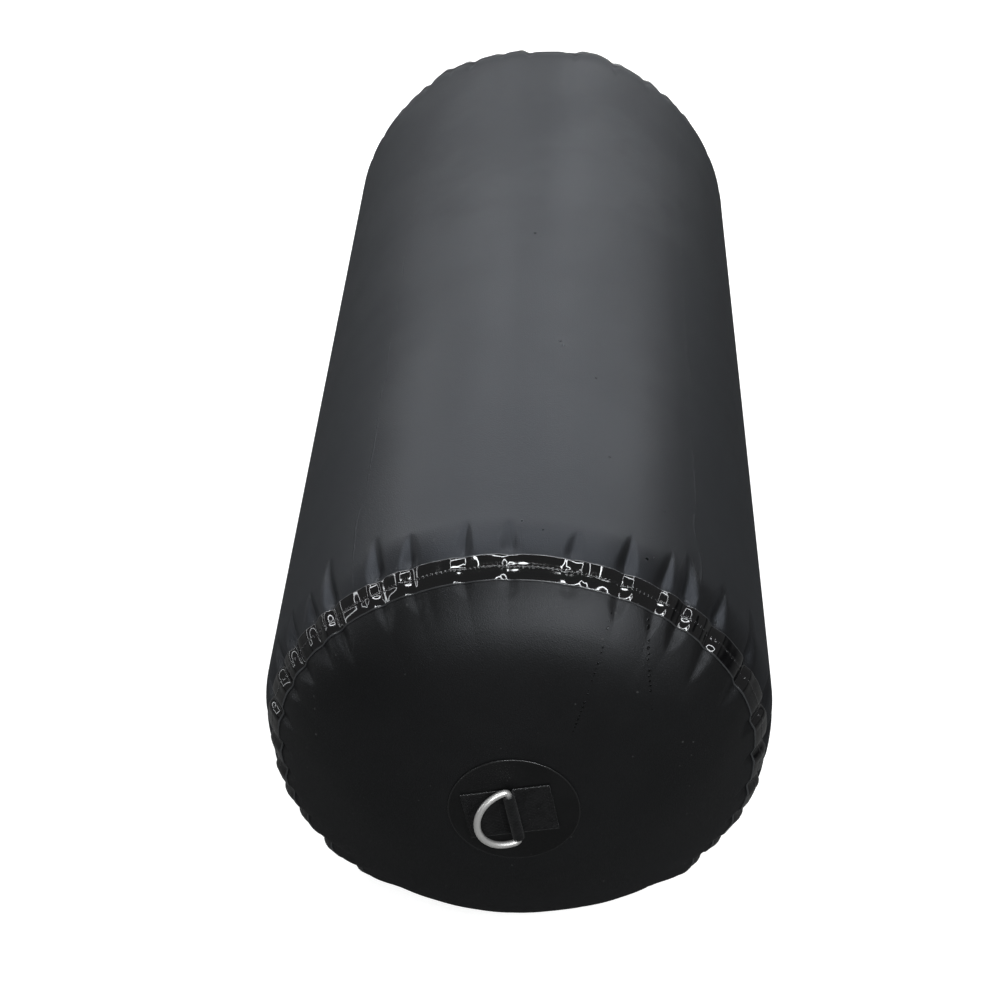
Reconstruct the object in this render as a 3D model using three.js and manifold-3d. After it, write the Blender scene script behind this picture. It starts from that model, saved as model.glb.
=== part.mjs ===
// Inflatable cylinder boat fender, lying on its side as it rests on a dock.
// Millimetres, +Z up, long axis along Y with the near end towards -Y. The origin is on the
// ground under the middle of the fender.
//
// The air chamber is welded from three cuts of coated fabric: a sleeve and two round end
// panels. The flat panel's rim is gathered to the sleeve, so the seam puckers all round, and a
// tape is welded over it. Each end carries a D-ring in a webbing loop on a round patch. The
// inflation valve, with its push-button, spring and cap, is clamped through the far panel.

import * as THREE from 'three';
import { mergeVertices } from 'three/addons/utils/BufferGeometryUtils.js';
import Module from 'manifold-3d';

const wasm = await Module();
wasm.setup();

// Chamber
const BODY_RADIUS = 228;
const STRAIGHT_LENGTH = 852; // sleeve between the circles where it starts to round in
const FABRIC = 1; // wall of the coated fabric
const END_FULLNESS = 0.9; // bulge of an end, as a share of a limp balloon's
const FLAT_HALF_WIDTH = 40; // of the flat that the soft wall makes on the ground
const FLAT_CENTRE_RADIUS = 70; // middle of an end panel, held flat by its patch
const TOUCH = 0.3; // gap between faces that touch

// Seam, with arcs measured along the skin from where the sleeve starts to round in
const SEAM_ARC = 54.5;
const TAPE_WIDTH = 25;
const TAPE_THICKNESS = 1;
const PUCKER_ON_SLEEVE = 78; // length of the puckers, from the seam
const PUCKER_ON_PANEL = 56;
const PUCKER_BEND = 22; // from the tape's edge to where a pucker's slope eases
const CROWN_STEP = 0.25;

// Puckers as angle in degrees, from +X towards +Z, and depth of the valley at the seam
const NEAR_FOLDS = [
  [3, 5], [15, 6], [28, 8], [42, 8], [51, 7], [58, 4], [67, 5], [79, 3], [92, 3.5],
  [102, 3.5], [114, 5], [122, 7.5], [135, 8], [141.5, 5], [150, 6], [157, 5], [167, 6],
  [178, 5], [187, 5], [195, 5], [203, 6], [214, 8], [225, 8], [236, 4], [247, 4], [260, 3],
  [270, 4], [280, 4], [291, 5], [302, 6], [310, 6], [323, 8], [331, 5], [341, 6], [352, 5],
];
const FAR_FOLDS = [
  [3, 4], [14, 4], [26, 4], [40, 4], [49, 3], [56, 5], [67.5, 6], [80, 4], [94.5, 6],
  [103, 3], [112.5, 5], [120, 3], [129, 4], [140, 3], [150, 4], [158, 4], [168, 5],
  [178, 5], [188, 6], [196, 5], [205, 6], [215, 7], [226, 7], [237, 4], [248, 4], [260, 3],
  [270, 3], [280, 3], [291, 4], [302, 6], [312, 7], [322, 6], [331, 6], [341, 6], [352, 5],
];
const VALLEY_SHARE = 0.25; // of the pitch, from a valley's bottom to the lobe beside it
const NEAR_END_LEAN = 5.5; // degrees that the near end's flat centre leans back at its top
const LEAN_REACH = 190; // radius at which the lean has died away

// D-ring fitting at the middle of each end
const PATCH_RADIUS = 57;
const PATCH_THICKNESS = 1;
const PATCH_RISE = 5; // of the patch's centre above the axis
const STRAP_WIDTH = 50;
const STRAP_THICKNESS = 1.8;
const STRAP_TILT = 11; // degrees, right-hand tab up, seen from outside
const LONG_TAB = 42; // from the bar to the end of the webbing, under the ring
const SHORT_TAB = 35;
const LOOP_FILLET = 1.6; // at the foot of the webbing's loop
const LOOP_SLACK = 4.5; // height that the loop holds the bar above the webbing's foot
const WIRE_RADIUS = 3;
const RING_INNER_WIDTH = 51;
const RING_CORNER = 3.7; // centreline radius beside the bar
const RING_SIDE = 4; // from the bar to the start of the bow
const RING_REST = 20; // degrees off the panel
const RING_FACETS = 8;
const BOW_STEPS = 16;
const CORNER_STEPS = 3;

// Valve, along its own axis with 0 at the panel's outer face
const VALVE_RISE = 110; // of its centre above the axis
const FLANGE_RADIUS = 25;
const FLANGE_TOP = 3.5;
const BARREL_RADIUS = 14;
const BARREL_CLEARANCE = 0.4;
const SOCKET_RADIUS = 11;
const SOCKET_DEPTH = 20; // to the top of the floor
const FLOOR_THICKNESS = 3;
const SKIRT_LENGTH = 7; // of the barrel below its floor
const STEM_RADIUS = 2.4;
const STEM_CLEARANCE = 0.5;
const PORT_COUNT = 6;
const PORT_RADIUS = 2;
const PORT_CIRCLE = 6.6;
const BUTTON_RADIUS = 6;
const BUTTON_THICKNESS = 2.2;
const BUTTON_DEPTH = 7; // of its face below the socket's rim
const SEAL_RADIUS = 9.8;
const SEAL_THICKNESS = 2;
const RETAINER_RADIUS = 6;
const RETAINER_THICKNESS = 2;
const SPRING_WIRE = 0.45;
const SPRING_RADIUS = 4.2;
const SPRING_TURNS = 4.5;
const SPRING_STEPS = 12; // to a turn
const NUT_RADIUS = 22;
const NUT_THICKNESS = 6;
const NUT_NOTCHES = 8;
const NUT_NOTCH_RADIUS = 2.2;
const CAP_RADIUS = 19;
const CAP_THICKNESS = 2.6;
const CAP_PLUG_CLEARANCE = 0.4;
const CAP_PLUG_WALL = 2;
const CAP_PLUG_DEPTH = 8;
const GRIP_LENGTH = 28;
const GRIP_WIDTH = 5;
const GRIP_HEIGHT = 5;
const RECESS_RADIUS = 14; // round the socket's rim, for the cap's seal
const RECESS_DEPTH = 1.8;
const CAP_SEAL_WIRE = 0.9;
const ROUND_SEGMENTS = 24;

// Worked out
const SEAM_LOW = SEAM_ARC - TOUCH / 2;
const SEAM_HIGH = SEAM_ARC + TOUCH / 2;
const TAPE_LOW = SEAM_ARC - TAPE_WIDTH / 2;
const TAPE_HIGH = SEAM_ARC + TAPE_WIDTH / 2;
const AXIS_HEIGHT = Math.sqrt(BODY_RADIUS ** 2 - FLAT_HALF_WIDTH ** 2);
const PATCH_TOP = TOUCH + PATCH_THICKNESS;
const STRAP_FOOT = PATCH_TOP + TOUCH;
const BAR_HEIGHT = PATCH_TOP + TOUCH + WIRE_RADIUS + LOOP_SLACK;
const BOW_RADIUS = RING_INNER_WIDTH / 2 + WIRE_RADIUS;
const radians = THREE.MathUtils.degToRad;

function material(color, roughness, metalness = 0) {
  return new THREE.MeshStandardMaterial({ color, roughness, metalness });
}

const sleeveFabric = material(0x17191b, 0.55);
const panelFabric = material(0x141617, 0.5);
const tapeFilm = material(0x08080a, 0.12);
const patchFabric = material(0x0d0e10, 0.45);
const webbing = material(0x0b0b0c, 0.9);
const steel = material(0xb9b6ae, 0.32, 1);
const springSteel = material(0x8d8f92, 0.3, 1);
const valvePlastic = material(0x1b1c1f, 0.45);
const nutPlastic = material(0x26272a, 0.5);
const buttonPlastic = material(0x9a9c9e, 0.4);
const sealRubber = material(0x111112, 0.85);

function mesh(name, geometry, look) {
  const made = new THREE.Mesh(geometry, look);
  made.name = name;
  return made;
}

// Closed skins made of loops of points

// Joins a loop to one further up the skin, which has as many points or one for every few.
function joinLoops(low, high, faces) {
  const nearest = (i) => high.start + (Math.round((i * high.count) / low.count) % high.count);
  for (let i = 0; i < low.count; i += 1) {
    const a = low.start + i;
    const b = low.start + ((i + 1) % low.count);
    const c = nearest(i);
    const d = nearest(i + 1);
    faces.push([a, b, c]);
    if (c !== d) faces.push([b, d, c]);
  }
}

// Makes one closed skin of loops in order. A loop of one point closes an end, and a skin with
// no such loop runs round to its first loop again. Loops that carry an arc are always joined
// from the lower to the higher, so that layers laid on each other have the same facets.
function skin(loops) {
  const points = loops.flatMap((loop) => loop.points);
  const spans = [];
  let start = 0;
  for (const { points: own, arc = 0 } of loops) {
    spans.push({ start, count: own.length, arc });
    start += own.length;
  }
  const index = [];
  const runsRound = spans[0].count > 1;
  for (let i = runsRound ? 0 : 1; i < spans.length; i += 1) {
    const before = spans[(i + spans.length - 1) % spans.length];
    const after = spans[i];
    const faces = [];
    const goesDown = after.arc < before.arc || after.count > before.count;
    if (goesDown) joinLoops(after, before, faces);
    else joinLoops(before, after, faces);
    for (const [a, b, c] of faces) index.push(...(goesDown ? [a, c, b] : [a, b, c]));
  }
  return facingOut(points, index);
}

// Turns the faces over where the skin would be inside out.
function facingOut(points, index) {
  let volume = 0;
  for (let i = 0; i < index.length; i += 3) {
    const [a, b, c] = [points[index[i]], points[index[i + 1]], points[index[i + 2]]];
    volume += a.dot(new THREE.Vector3().crossVectors(b, c));
  }
  if (volume < 0) index.reverse();
  const geometry = new THREE.BufferGeometry().setFromPoints(points);
  geometry.setIndex(index);
  geometry.computeVertexNormals();
  return geometry;
}

// Booleans

function toSolid(geometry) {
  const bare = geometry.clone();
  bare.deleteAttribute('normal');
  bare.deleteAttribute('uv');
  const merged = mergeVertices(bare, 1e-4);
  const found = new wasm.Mesh({
    numProp: 3,
    vertProperties: new Float32Array(merged.attributes.position.array),
    triVerts: new Uint32Array(merged.index.array),
  });
  return new wasm.Manifold(found);
}

function fromSolid(solid) {
  const found = solid.getMesh();
  const geometry = new THREE.BufferGeometry();
  geometry.setAttribute('position', new THREE.BufferAttribute(found.vertProperties, 3));
  geometry.setIndex(new THREE.BufferAttribute(found.triVerts, 1));
  geometry.computeVertexNormals();
  return geometry;
}

function cut(geometry, ...tools) {
  let solid = toSolid(geometry);
  for (const tool of tools) solid = solid.subtract(toSolid(tool));
  return fromSolid(solid);
}

function join(...geometries) {
  return fromSolid(geometries.map(toSolid).reduce((all, one) => all.add(one)));
}

// The chamber's form

// A round end that is free to pucker carries tension along its length only, so where its
// radius is r, its lean from the axis has the cosine (r / R) squared.
function crownProfile() {
  const profile = [{ arc: 0, r: BODY_RADIUS, y: 0, lean: 0 }];
  let last = profile[0];
  while (last.r > CROWN_STEP && last.lean < Math.PI / 2) {
    const middle = last.lean + (last.r * CROWN_STEP) / BODY_RADIUS ** 2;
    const r = last.r - Math.sin(middle) * CROWN_STEP;
    last = {
      arc: last.arc + CROWN_STEP,
      r,
      y: last.y + Math.cos(middle) * CROWN_STEP * END_FULLNESS,
      lean: last.lean + ((last.r + r) * CROWN_STEP) / BODY_RADIUS ** 2,
    };
    profile.push(last);
  }
  return profile;
}

const CROWN = crownProfile();

// Place on the crown at an arc. Below zero it runs back along the straight sleeve.
function crownAt(arc) {
  if (arc <= 0) return { arc, r: BODY_RADIUS, y: arc, lean: 0 };
  const step = Math.min(Math.floor(arc / CROWN_STEP), CROWN.length - 2);
  const share = arc / CROWN_STEP - step;
  const [low, high] = [CROWN[step], CROWN[step + 1]];
  const blend = (key) => THREE.MathUtils.lerp(low[key], high[key], share);
  return { arc, r: blend('r'), y: blend('y'), lean: blend('lean') };
}

function crownAtRadius(radius) {
  return CROWN.find((place) => place.r <= radius);
}

// Columns of the skin: each pucker's valley and the two edges of the lobe after it.
function columns(side) {
  const folds = side < 0 ? NEAR_FOLDS : FAR_FOLDS;
  return folds.flatMap(([angle, depth], i) => {
    const next = i + 1 < folds.length ? folds[i + 1][0] : folds[0][0] + 360;
    const pitch = next - angle;
    return [
      { angle, depth },
      { angle: angle + pitch * VALLEY_SHARE, depth: 0 },
      { angle: next - pitch * VALLEY_SHARE, depth: 0 },
    ];
  });
}

// Share of a pucker's depth that is left at an arc.
function puckerAt(arc) {
  const reach = arc < SEAM_ARC ? PUCKER_ON_SLEEVE : PUCKER_ON_PANEL;
  return Math.max(0, 1 - Math.abs(arc - SEAM_ARC) / reach) ** 1.3;
}

// Distance that an end stands in from upright, at a height above the axis.
function leanIn(side, radius, rise) {
  if (side > 0) return 0;
  const share = THREE.MathUtils.smoothstep(radius, FLAT_CENTRE_RADIUS, LEAN_REACH);
  return Math.tan(radians(NEAR_END_LEAN)) * rise * (1 - share);
}

// One loop round the chamber, an offset out from the fabric's outer face. The side is -1 at
// the near end and 1 at the far one.
function skinLoop(side, place, offset = 0, sparse = false) {
  const slope = Math.hypot(END_FULLNESS * Math.cos(place.lean), Math.sin(place.lean));
  const out = (END_FULLNESS * Math.cos(place.lean)) / slope;
  const along = Math.sin(place.lean) / slope;
  const kept = columns(side).filter((column, i) => !sparse || i % 3 === 0);
  const points = kept.map(({ angle, depth }) => {
    const shift = offset - (sparse ? 0 : depth * puckerAt(place.arc));
    const r = place.r + out * shift;
    const z = Math.max(r * Math.sin(radians(angle)), -AXIS_HEIGHT - offset);
    const stand = STRAIGHT_LENGTH / 2 + place.y + along * shift;
    const y = side * (stand - leanIn(side, place.r, z));
    return new THREE.Vector3(r * Math.cos(radians(angle)), y, z + AXIS_HEIGHT);
  });
  return { points, arc: place.arc };
}

function sleeveGeometry() {
  const arcs = [SEAM_LOW, TAPE_LOW, TAPE_LOW - PUCKER_BEND, SEAM_ARC - PUCKER_ON_SLEEVE];
  const near = (offset) => arcs.map((arc) => skinLoop(-1, crownAt(arc), offset));
  const far = (offset) => arcs.map((arc) => skinLoop(1, crownAt(arc), offset)).reverse();
  const outer = [...near(0), ...far(0)];
  const inner = [...near(-FABRIC), ...far(-FABRIC)].reverse();
  return skin([...outer, ...inner]);
}

// The panel's places, from its rim to the edge of its flat centre. The last ones are past the
// puckers and have fewer columns.
function panelPlaces() {
  const rim = [SEAM_HIGH, TAPE_HIGH, TAPE_HIGH + PUCKER_BEND, SEAM_ARC + PUCKER_ON_PANEL].map(crownAt);
  const edge = rim[rim.length - 1].r;
  const radii = [2, 1].map((step) => FLAT_CENTRE_RADIUS + ((edge - FLAT_CENTRE_RADIUS) * step) / 3);
  const middle = [...radii, FLAT_CENTRE_RADIUS].map(crownAtRadius);
  return { rim, middle };
}

// A layer of the end panel between two offsets from its outer face.
function panelGeometry(side, outerOffset = 0, innerOffset = -FABRIC) {
  const { rim, middle } = panelPlaces();
  const flat = middle[middle.length - 1];
  const face = (offset) => {
    const loops = rim.map((place) => skinLoop(side, place, offset));
    loops.push(...middle.map((place) => skinLoop(side, place, offset, true)));
    const last = loops[loops.length - 1];
    const { y, z } = last.points[0];
    const centreY = y + side * leanIn(side, flat.r, z - AXIS_HEIGHT);
    const centre = new THREE.Vector3(0, centreY, AXIS_HEIGHT);
    return [...loops, { points: [centre], arc: flat.arc + FLAT_CENTRE_RADIUS }];
  };
  return skin([...face(outerOffset).reverse(), ...face(innerOffset)]);
}

function tapeGeometry(side) {
  const places = [TAPE_LOW, SEAM_ARC, TAPE_HIGH].map(crownAt);
  const outer = places.map((place) => skinLoop(side, place, TOUCH + TAPE_THICKNESS));
  const inner = places.map((place) => skinLoop(side, place, TOUCH)).reverse();
  return skin([...outer, ...inner]);
}

// D-ring fitting, in its own frame: x along the webbing with the ring lying towards -x, y out
// from the panel's flat face, and z along the ring's bar

function patchGeometry() {
  const disc = new THREE.CylinderGeometry(PATCH_RADIUS, PATCH_RADIUS, PATCH_THICKNESS, 40);
  return disc.translate(0, TOUCH + PATCH_THICKNESS / 2, 0);
}

// The webbing lies flat on both sides of the bar and loops over it.
function strapGeometry() {
  const top = STRAP_FOOT + STRAP_THICKNESS;
  const under = WIRE_RADIUS + TOUCH;
  const over = under + STRAP_THICKNESS;
  const fillet = LOOP_FILLET + STRAP_THICKNESS;
  const rise = BAR_HEIGHT - (top + LOOP_FILLET);
  const foot = Math.sqrt((over + LOOP_FILLET) ** 2 - rise ** 2);
  const lean = Math.asin(rise / (over + LOOP_FILLET));
  const half = Math.PI / 2;
  const outline = new THREE.Shape();
  outline.moveTo(-LONG_TAB, STRAP_FOOT);
  outline.absarc(-foot, top + LOOP_FILLET, fillet, -half, lean, false);
  outline.absarc(0, BAR_HEIGHT, under, Math.PI + lean, -lean, true);
  outline.absarc(foot, top + LOOP_FILLET, fillet, Math.PI - lean, Math.PI + half, false);
  outline.lineTo(SHORT_TAB, STRAP_FOOT);
  outline.lineTo(SHORT_TAB, top);
  outline.absarc(foot, top + LOOP_FILLET, LOOP_FILLET, Math.PI + half, Math.PI - lean, true);
  outline.absarc(0, BAR_HEIGHT, over, -lean, Math.PI + lean, false);
  outline.absarc(-foot, top + LOOP_FILLET, LOOP_FILLET, lean, -half, true);
  outline.lineTo(-LONG_TAB, top);
  const options = { depth: STRAP_WIDTH, bevelEnabled: false, curveSegments: 3 };
  return new THREE.ExtrudeGeometry(outline, options).translate(0, 0, -STRAP_WIDTH / 2);
}

function arcPoints(x, z, radius, from, to, steps) {
  return Array.from({ length: steps + 1 }, (unused, i) => {
    const angle = radians(THREE.MathUtils.lerp(from, to, i / steps));
    return new THREE.Vector3(x + radius * Math.cos(angle), 0, z + radius * Math.sin(angle));
  });
}

// Round bar bent into a closed outline that lies in the plane of x and z.
function bentRing(outline, wireRadius, facets) {
  const up = new THREE.Vector3(0, 1, 0);
  const loops = outline.map((point, i) => {
    const before = outline[(i + outline.length - 1) % outline.length];
    const after = outline[(i + 1) % outline.length];
    const arriving = point.clone().sub(before).normalize();
    const leaving = after.clone().sub(point).normalize();
    const tangent = arriving.clone().add(leaving).normalize();
    const across = new THREE.Vector3().crossVectors(up, tangent);
    const mitre = wireRadius / arriving.dot(tangent);
    const points = Array.from({ length: facets }, (unused, k) => {
      const angle = (2 * Math.PI * (k + 0.5)) / facets;
      const spot = point.clone().addScaledVector(across, mitre * Math.cos(angle));
      return spot.addScaledVector(up, wireRadius * Math.sin(angle));
    });
    return { points };
  });
  return skin(loops);
}

function ringGeometry() {
  const corner = BOW_RADIUS - RING_CORNER;
  const outline = [
    ...arcPoints(-RING_SIDE, 0, BOW_RADIUS, 90, 270, BOW_STEPS),
    ...arcPoints(-RING_CORNER, -corner, RING_CORNER, 270, 360, CORNER_STEPS),
    ...arcPoints(-RING_CORNER, corner, RING_CORNER, 0, 90, CORNER_STEPS),
  ];
  return bentRing(outline, WIRE_RADIUS, RING_FACETS);
}

function ringFitting(end, lean) {
  const fitting = new THREE.Group();
  const flat = crownAtRadius(FLAT_CENTRE_RADIUS);
  const tilt = radians(STRAP_TILT);
  const out = new THREE.Vector3(0, -Math.cos(lean), Math.sin(lean));
  const up = new THREE.Vector3(0, Math.sin(lean), Math.cos(lean));
  const along = new THREE.Vector3(Math.cos(tilt), 0, 0).addScaledVector(up, Math.sin(tilt));
  const bar = new THREE.Vector3().crossVectors(along, out);
  fitting.quaternion.setFromRotationMatrix(new THREE.Matrix4().makeBasis(along, out, bar));
  const y = -STRAIGHT_LENGTH / 2 - flat.y + Math.tan(lean) * PATCH_RISE;
  fitting.position.set(0, y, AXIS_HEIGHT + PATCH_RISE);
  const ring = mesh(`${end}_ring`, ringGeometry(), steel);
  ring.position.y = BAR_HEIGHT;
  ring.rotation.z = -radians(RING_REST);
  fitting.add(mesh(`${end}_ring_patch`, patchGeometry(), patchFabric));
  fitting.add(mesh(`${end}_ring_strap`, strapGeometry(), webbing));
  fitting.add(ring);
  return fitting;
}

// Valve, in its own frame with y out along its axis

const VALVE_SEAT = crownAtRadius(VALVE_RISE);
const VALVE_LEAN = Math.PI / 2 - Math.atan2(Math.sin(VALVE_SEAT.lean),
  END_FULLNESS * Math.cos(VALVE_SEAT.lean));
const FLOOR_TOP = FLANGE_TOP - SOCKET_DEPTH;
const FLOOR_UNDER = FLOOR_TOP - FLOOR_THICKNESS;
const BUTTON_TOP = FLANGE_TOP - BUTTON_DEPTH;
const BUTTON_UNDER = BUTTON_TOP - BUTTON_THICKNESS;
const SEAL_TOP = FLOOR_UNDER - TOUCH;
const SEAL_UNDER = SEAL_TOP - SEAL_THICKNESS;
const NUT_UNDER = -FABRIC - NUT_THICKNESS;
const CAP_PLUG_RADIUS = SOCKET_RADIUS - CAP_PLUG_CLEARANCE;

function valveGroup() {
  const group = new THREE.Group();
  const y = STRAIGHT_LENGTH / 2 + VALVE_SEAT.y;
  group.position.set(0, y, AXIS_HEIGHT + VALVE_SEAT.r);
  group.rotation.x = VALVE_LEAN;
  group.updateMatrixWorld();
  return group;
}

// Turns an outline of radius and height pairs, which closes on itself.
function turned(...outline) {
  const closed = [...outline, outline[0]].map(([r, y]) => new THREE.Vector2(r, y));
  return new THREE.LatheGeometry(closed, ROUND_SEGMENTS);
}

function rod(radius, low, high, segments = ROUND_SEGMENTS) {
  const made = new THREE.CylinderGeometry(radius, radius, high - low, segments);
  return made.translate(0, (low + high) / 2, 0);
}

// Everything from above the fabric to below it, as seen from the valve, which shapes the
// faces that clamp it.
function fabricZone(group, outerOffset, innerOffset) {
  const zone = panelGeometry(1, outerOffset, innerOffset);
  return zone.applyMatrix4(group.matrixWorld.clone().invert());
}

function panelWithValveHole(group) {
  const reach = FLANGE_RADIUS;
  const hole = rod(BARREL_RADIUS + BARREL_CLEARANCE, -reach, reach);
  return cut(panelGeometry(1), hole.applyMatrix4(group.matrixWorld));
}

function valveBodyGeometry(group) {
  const clampDepth = 2 * FLANGE_TOP;
  const flange = turned(
    [SOCKET_RADIUS, -clampDepth], [FLANGE_RADIUS, -clampDepth], [FLANGE_RADIUS, FLANGE_TOP - 1.5],
    [FLANGE_RADIUS - 2, FLANGE_TOP], [RECESS_RADIUS, FLANGE_TOP],
    [RECESS_RADIUS, FLANGE_TOP - RECESS_DEPTH], [SOCKET_RADIUS, FLANGE_TOP - RECESS_DEPTH],
  );
  const foot = FLOOR_UNDER - SKIRT_LENGTH;
  const stemHole = STEM_RADIUS + STEM_CLEARANCE;
  const barrel = turned(
    [stemHole, FLOOR_UNDER], [SOCKET_RADIUS, FLOOR_UNDER], [SOCKET_RADIUS, foot],
    [BARREL_RADIUS, foot], [BARREL_RADIUS, FLANGE_TOP - RECESS_DEPTH],
    [SOCKET_RADIUS, FLANGE_TOP - RECESS_DEPTH], [SOCKET_RADIUS, FLOOR_TOP],
    [stemHole, FLOOR_TOP],
  );
  const ports = Array.from({ length: PORT_COUNT }, (unused, i) => {
    const port = rod(PORT_RADIUS, FLOOR_UNDER - 1, FLOOR_TOP + 1, 8);
    return port.translate(PORT_CIRCLE, 0, 0).rotateY((2 * Math.PI * i) / PORT_COUNT);
  });
  const clamped = cut(flange, fabricZone(group, TOUCH, -3 * clampDepth));
  return cut(join(clamped, barrel), ...ports);
}

function valveNutGeometry(group) {
  const bore = BARREL_RADIUS + TOUCH;
  const blank = turned([bore, NUT_UNDER], [NUT_RADIUS, NUT_UNDER], [NUT_RADIUS, 0], [bore, 0]);
  const notches = Array.from({ length: NUT_NOTCHES }, (unused, i) => {
    const notch = rod(NUT_NOTCH_RADIUS, NUT_UNDER - 1, 1, 8);
    return notch.translate(NUT_RADIUS, 0, 0).rotateY((2 * Math.PI * (i + 0.5)) / NUT_NOTCHES);
  });
  return cut(blank, fabricZone(group, NUT_THICKNESS, -FABRIC - TOUCH), ...notches);
}

// Button, stem and the retainer that carries the seal, snapped together for good.
function plungerGeometry() {
  const stemFoot = SEAL_UNDER - TOUCH - RETAINER_THICKNESS;
  return turned(
    [0, stemFoot], [RETAINER_RADIUS, stemFoot], [RETAINER_RADIUS, SEAL_UNDER - TOUCH],
    [STEM_RADIUS, SEAL_UNDER - TOUCH], [STEM_RADIUS, BUTTON_UNDER],
    [BUTTON_RADIUS, BUTTON_UNDER], [BUTTON_RADIUS, BUTTON_TOP - 0.6],
    [BUTTON_RADIUS - 0.6, BUTTON_TOP], [0, BUTTON_TOP],
  );
}

function valveSealGeometry() {
  const bore = STEM_RADIUS + TOUCH;
  return turned([bore, SEAL_UNDER], [SEAL_RADIUS, SEAL_UNDER], [SEAL_RADIUS, SEAL_TOP], [bore, SEAL_TOP]);
}

// The valve's spring, from the floor up to the button.
function springGeometry() {
  const low = FLOOR_TOP + TOUCH + SPRING_WIRE;
  const high = BUTTON_UNDER - TOUCH - SPRING_WIRE;
  class Helix extends THREE.Curve {
    getPoint(t, target = new THREE.Vector3()) {
      const angle = 2 * Math.PI * SPRING_TURNS * t;
      const y = THREE.MathUtils.lerp(low, high, t);
      return target.set(SPRING_RADIUS * Math.cos(angle), y, SPRING_RADIUS * Math.sin(angle));
    }
  }
  const section = new THREE.Shape();
  section.absarc(0, 0, SPRING_WIRE, 0, 2 * Math.PI);
  const steps = Math.round(SPRING_TURNS * SPRING_STEPS);
  return new THREE.ExtrudeGeometry(section, { extrudePath: new Helix(), steps, curveSegments: 3 });
}

// Cap with a hollow plug that reaches down the socket round the button, and a grip to turn it.
function capGeometry() {
  const under = FLANGE_TOP + TOUCH;
  const top = under + CAP_THICKNESS;
  const hollow = CAP_PLUG_RADIUS - CAP_PLUG_WALL;
  const foot = under - CAP_PLUG_DEPTH;
  const disc = turned(
    [0, under], [hollow, under], [hollow, foot], [CAP_PLUG_RADIUS, foot],
    [CAP_PLUG_RADIUS, under], [CAP_RADIUS, under], [CAP_RADIUS, top - 1], [CAP_RADIUS - 1, top],
    [0, top],
  );
  const shape = new THREE.Shape();
  const half = GRIP_LENGTH / 2 - GRIP_WIDTH / 2;
  shape.absarc(half, 0, GRIP_WIDTH / 2, -Math.PI / 2, Math.PI / 2);
  shape.absarc(-half, 0, GRIP_WIDTH / 2, Math.PI / 2, 1.5 * Math.PI);
  const overlap = CAP_THICKNESS / 2;
  const options = { depth: GRIP_HEIGHT + overlap, bevelEnabled: false, curveSegments: 3 };
  const grip = new THREE.ExtrudeGeometry(shape, options);
  grip.rotateX(-Math.PI / 2).translate(0, top - overlap, 0);
  return join(disc, grip);
}

// The cap's seal sits on its plug and lies in the recess round the socket.
function capSealGeometry() {
  const middle = FLANGE_TOP - RECESS_DEPTH + TOUCH + CAP_SEAL_WIRE;
  const radius = CAP_PLUG_RADIUS + TOUCH + CAP_SEAL_WIRE;
  const outline = arcPoints(0, 0, radius, 0, 360, ROUND_SEGMENTS).slice(0, -1);
  return bentRing(outline, CAP_SEAL_WIRE, 6).translate(0, middle, 0);
}

function buildValve(group) {
  group.add(mesh('valve_body', valveBodyGeometry(group), valvePlastic));
  group.add(mesh('valve_nut', valveNutGeometry(group), nutPlastic));
  group.add(mesh('valve_plunger', plungerGeometry(), buttonPlastic));
  group.add(mesh('valve_seal', valveSealGeometry(), sealRubber));
  group.add(mesh('valve_spring', springGeometry(), springSteel));
  group.add(mesh('valve_cap', capGeometry(), valvePlastic));
  group.add(mesh('cap_seal', capSealGeometry(), sealRubber));
  return group;
}

// Whole fender

function buildFender() {
  const valve = valveGroup();
  const fender = new THREE.Group();
  fender.add(mesh('sleeve', sleeveGeometry(), sleeveFabric));
  fender.add(mesh('near_end_panel', panelGeometry(-1), panelFabric));
  fender.add(mesh('far_end_panel', panelWithValveHole(valve), panelFabric));
  fender.add(mesh('near_seam_tape', tapeGeometry(-1), tapeFilm));
  fender.add(mesh('far_seam_tape', tapeGeometry(1), tapeFilm));
  fender.add(ringFitting('near', radians(NEAR_END_LEAN)));
  const farEnd = new THREE.Group();
  farEnd.rotation.z = Math.PI;
  farEnd.add(ringFitting('far', 0));
  fender.add(farEnd);
  fender.add(buildValve(valve));
  return fender;
}

export default buildFender();
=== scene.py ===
"""Inflatable cylinder boat fender: the skins, tapes, webbing, rings and valve as Blender builds
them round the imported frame. Metres, +Z up, near end towards -Y."""

import math

import bmesh
import bpy
import numpy as np
from bpy.props import FloatProperty, FloatVectorProperty, PointerProperty
from mathutils import Matrix, Vector


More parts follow.
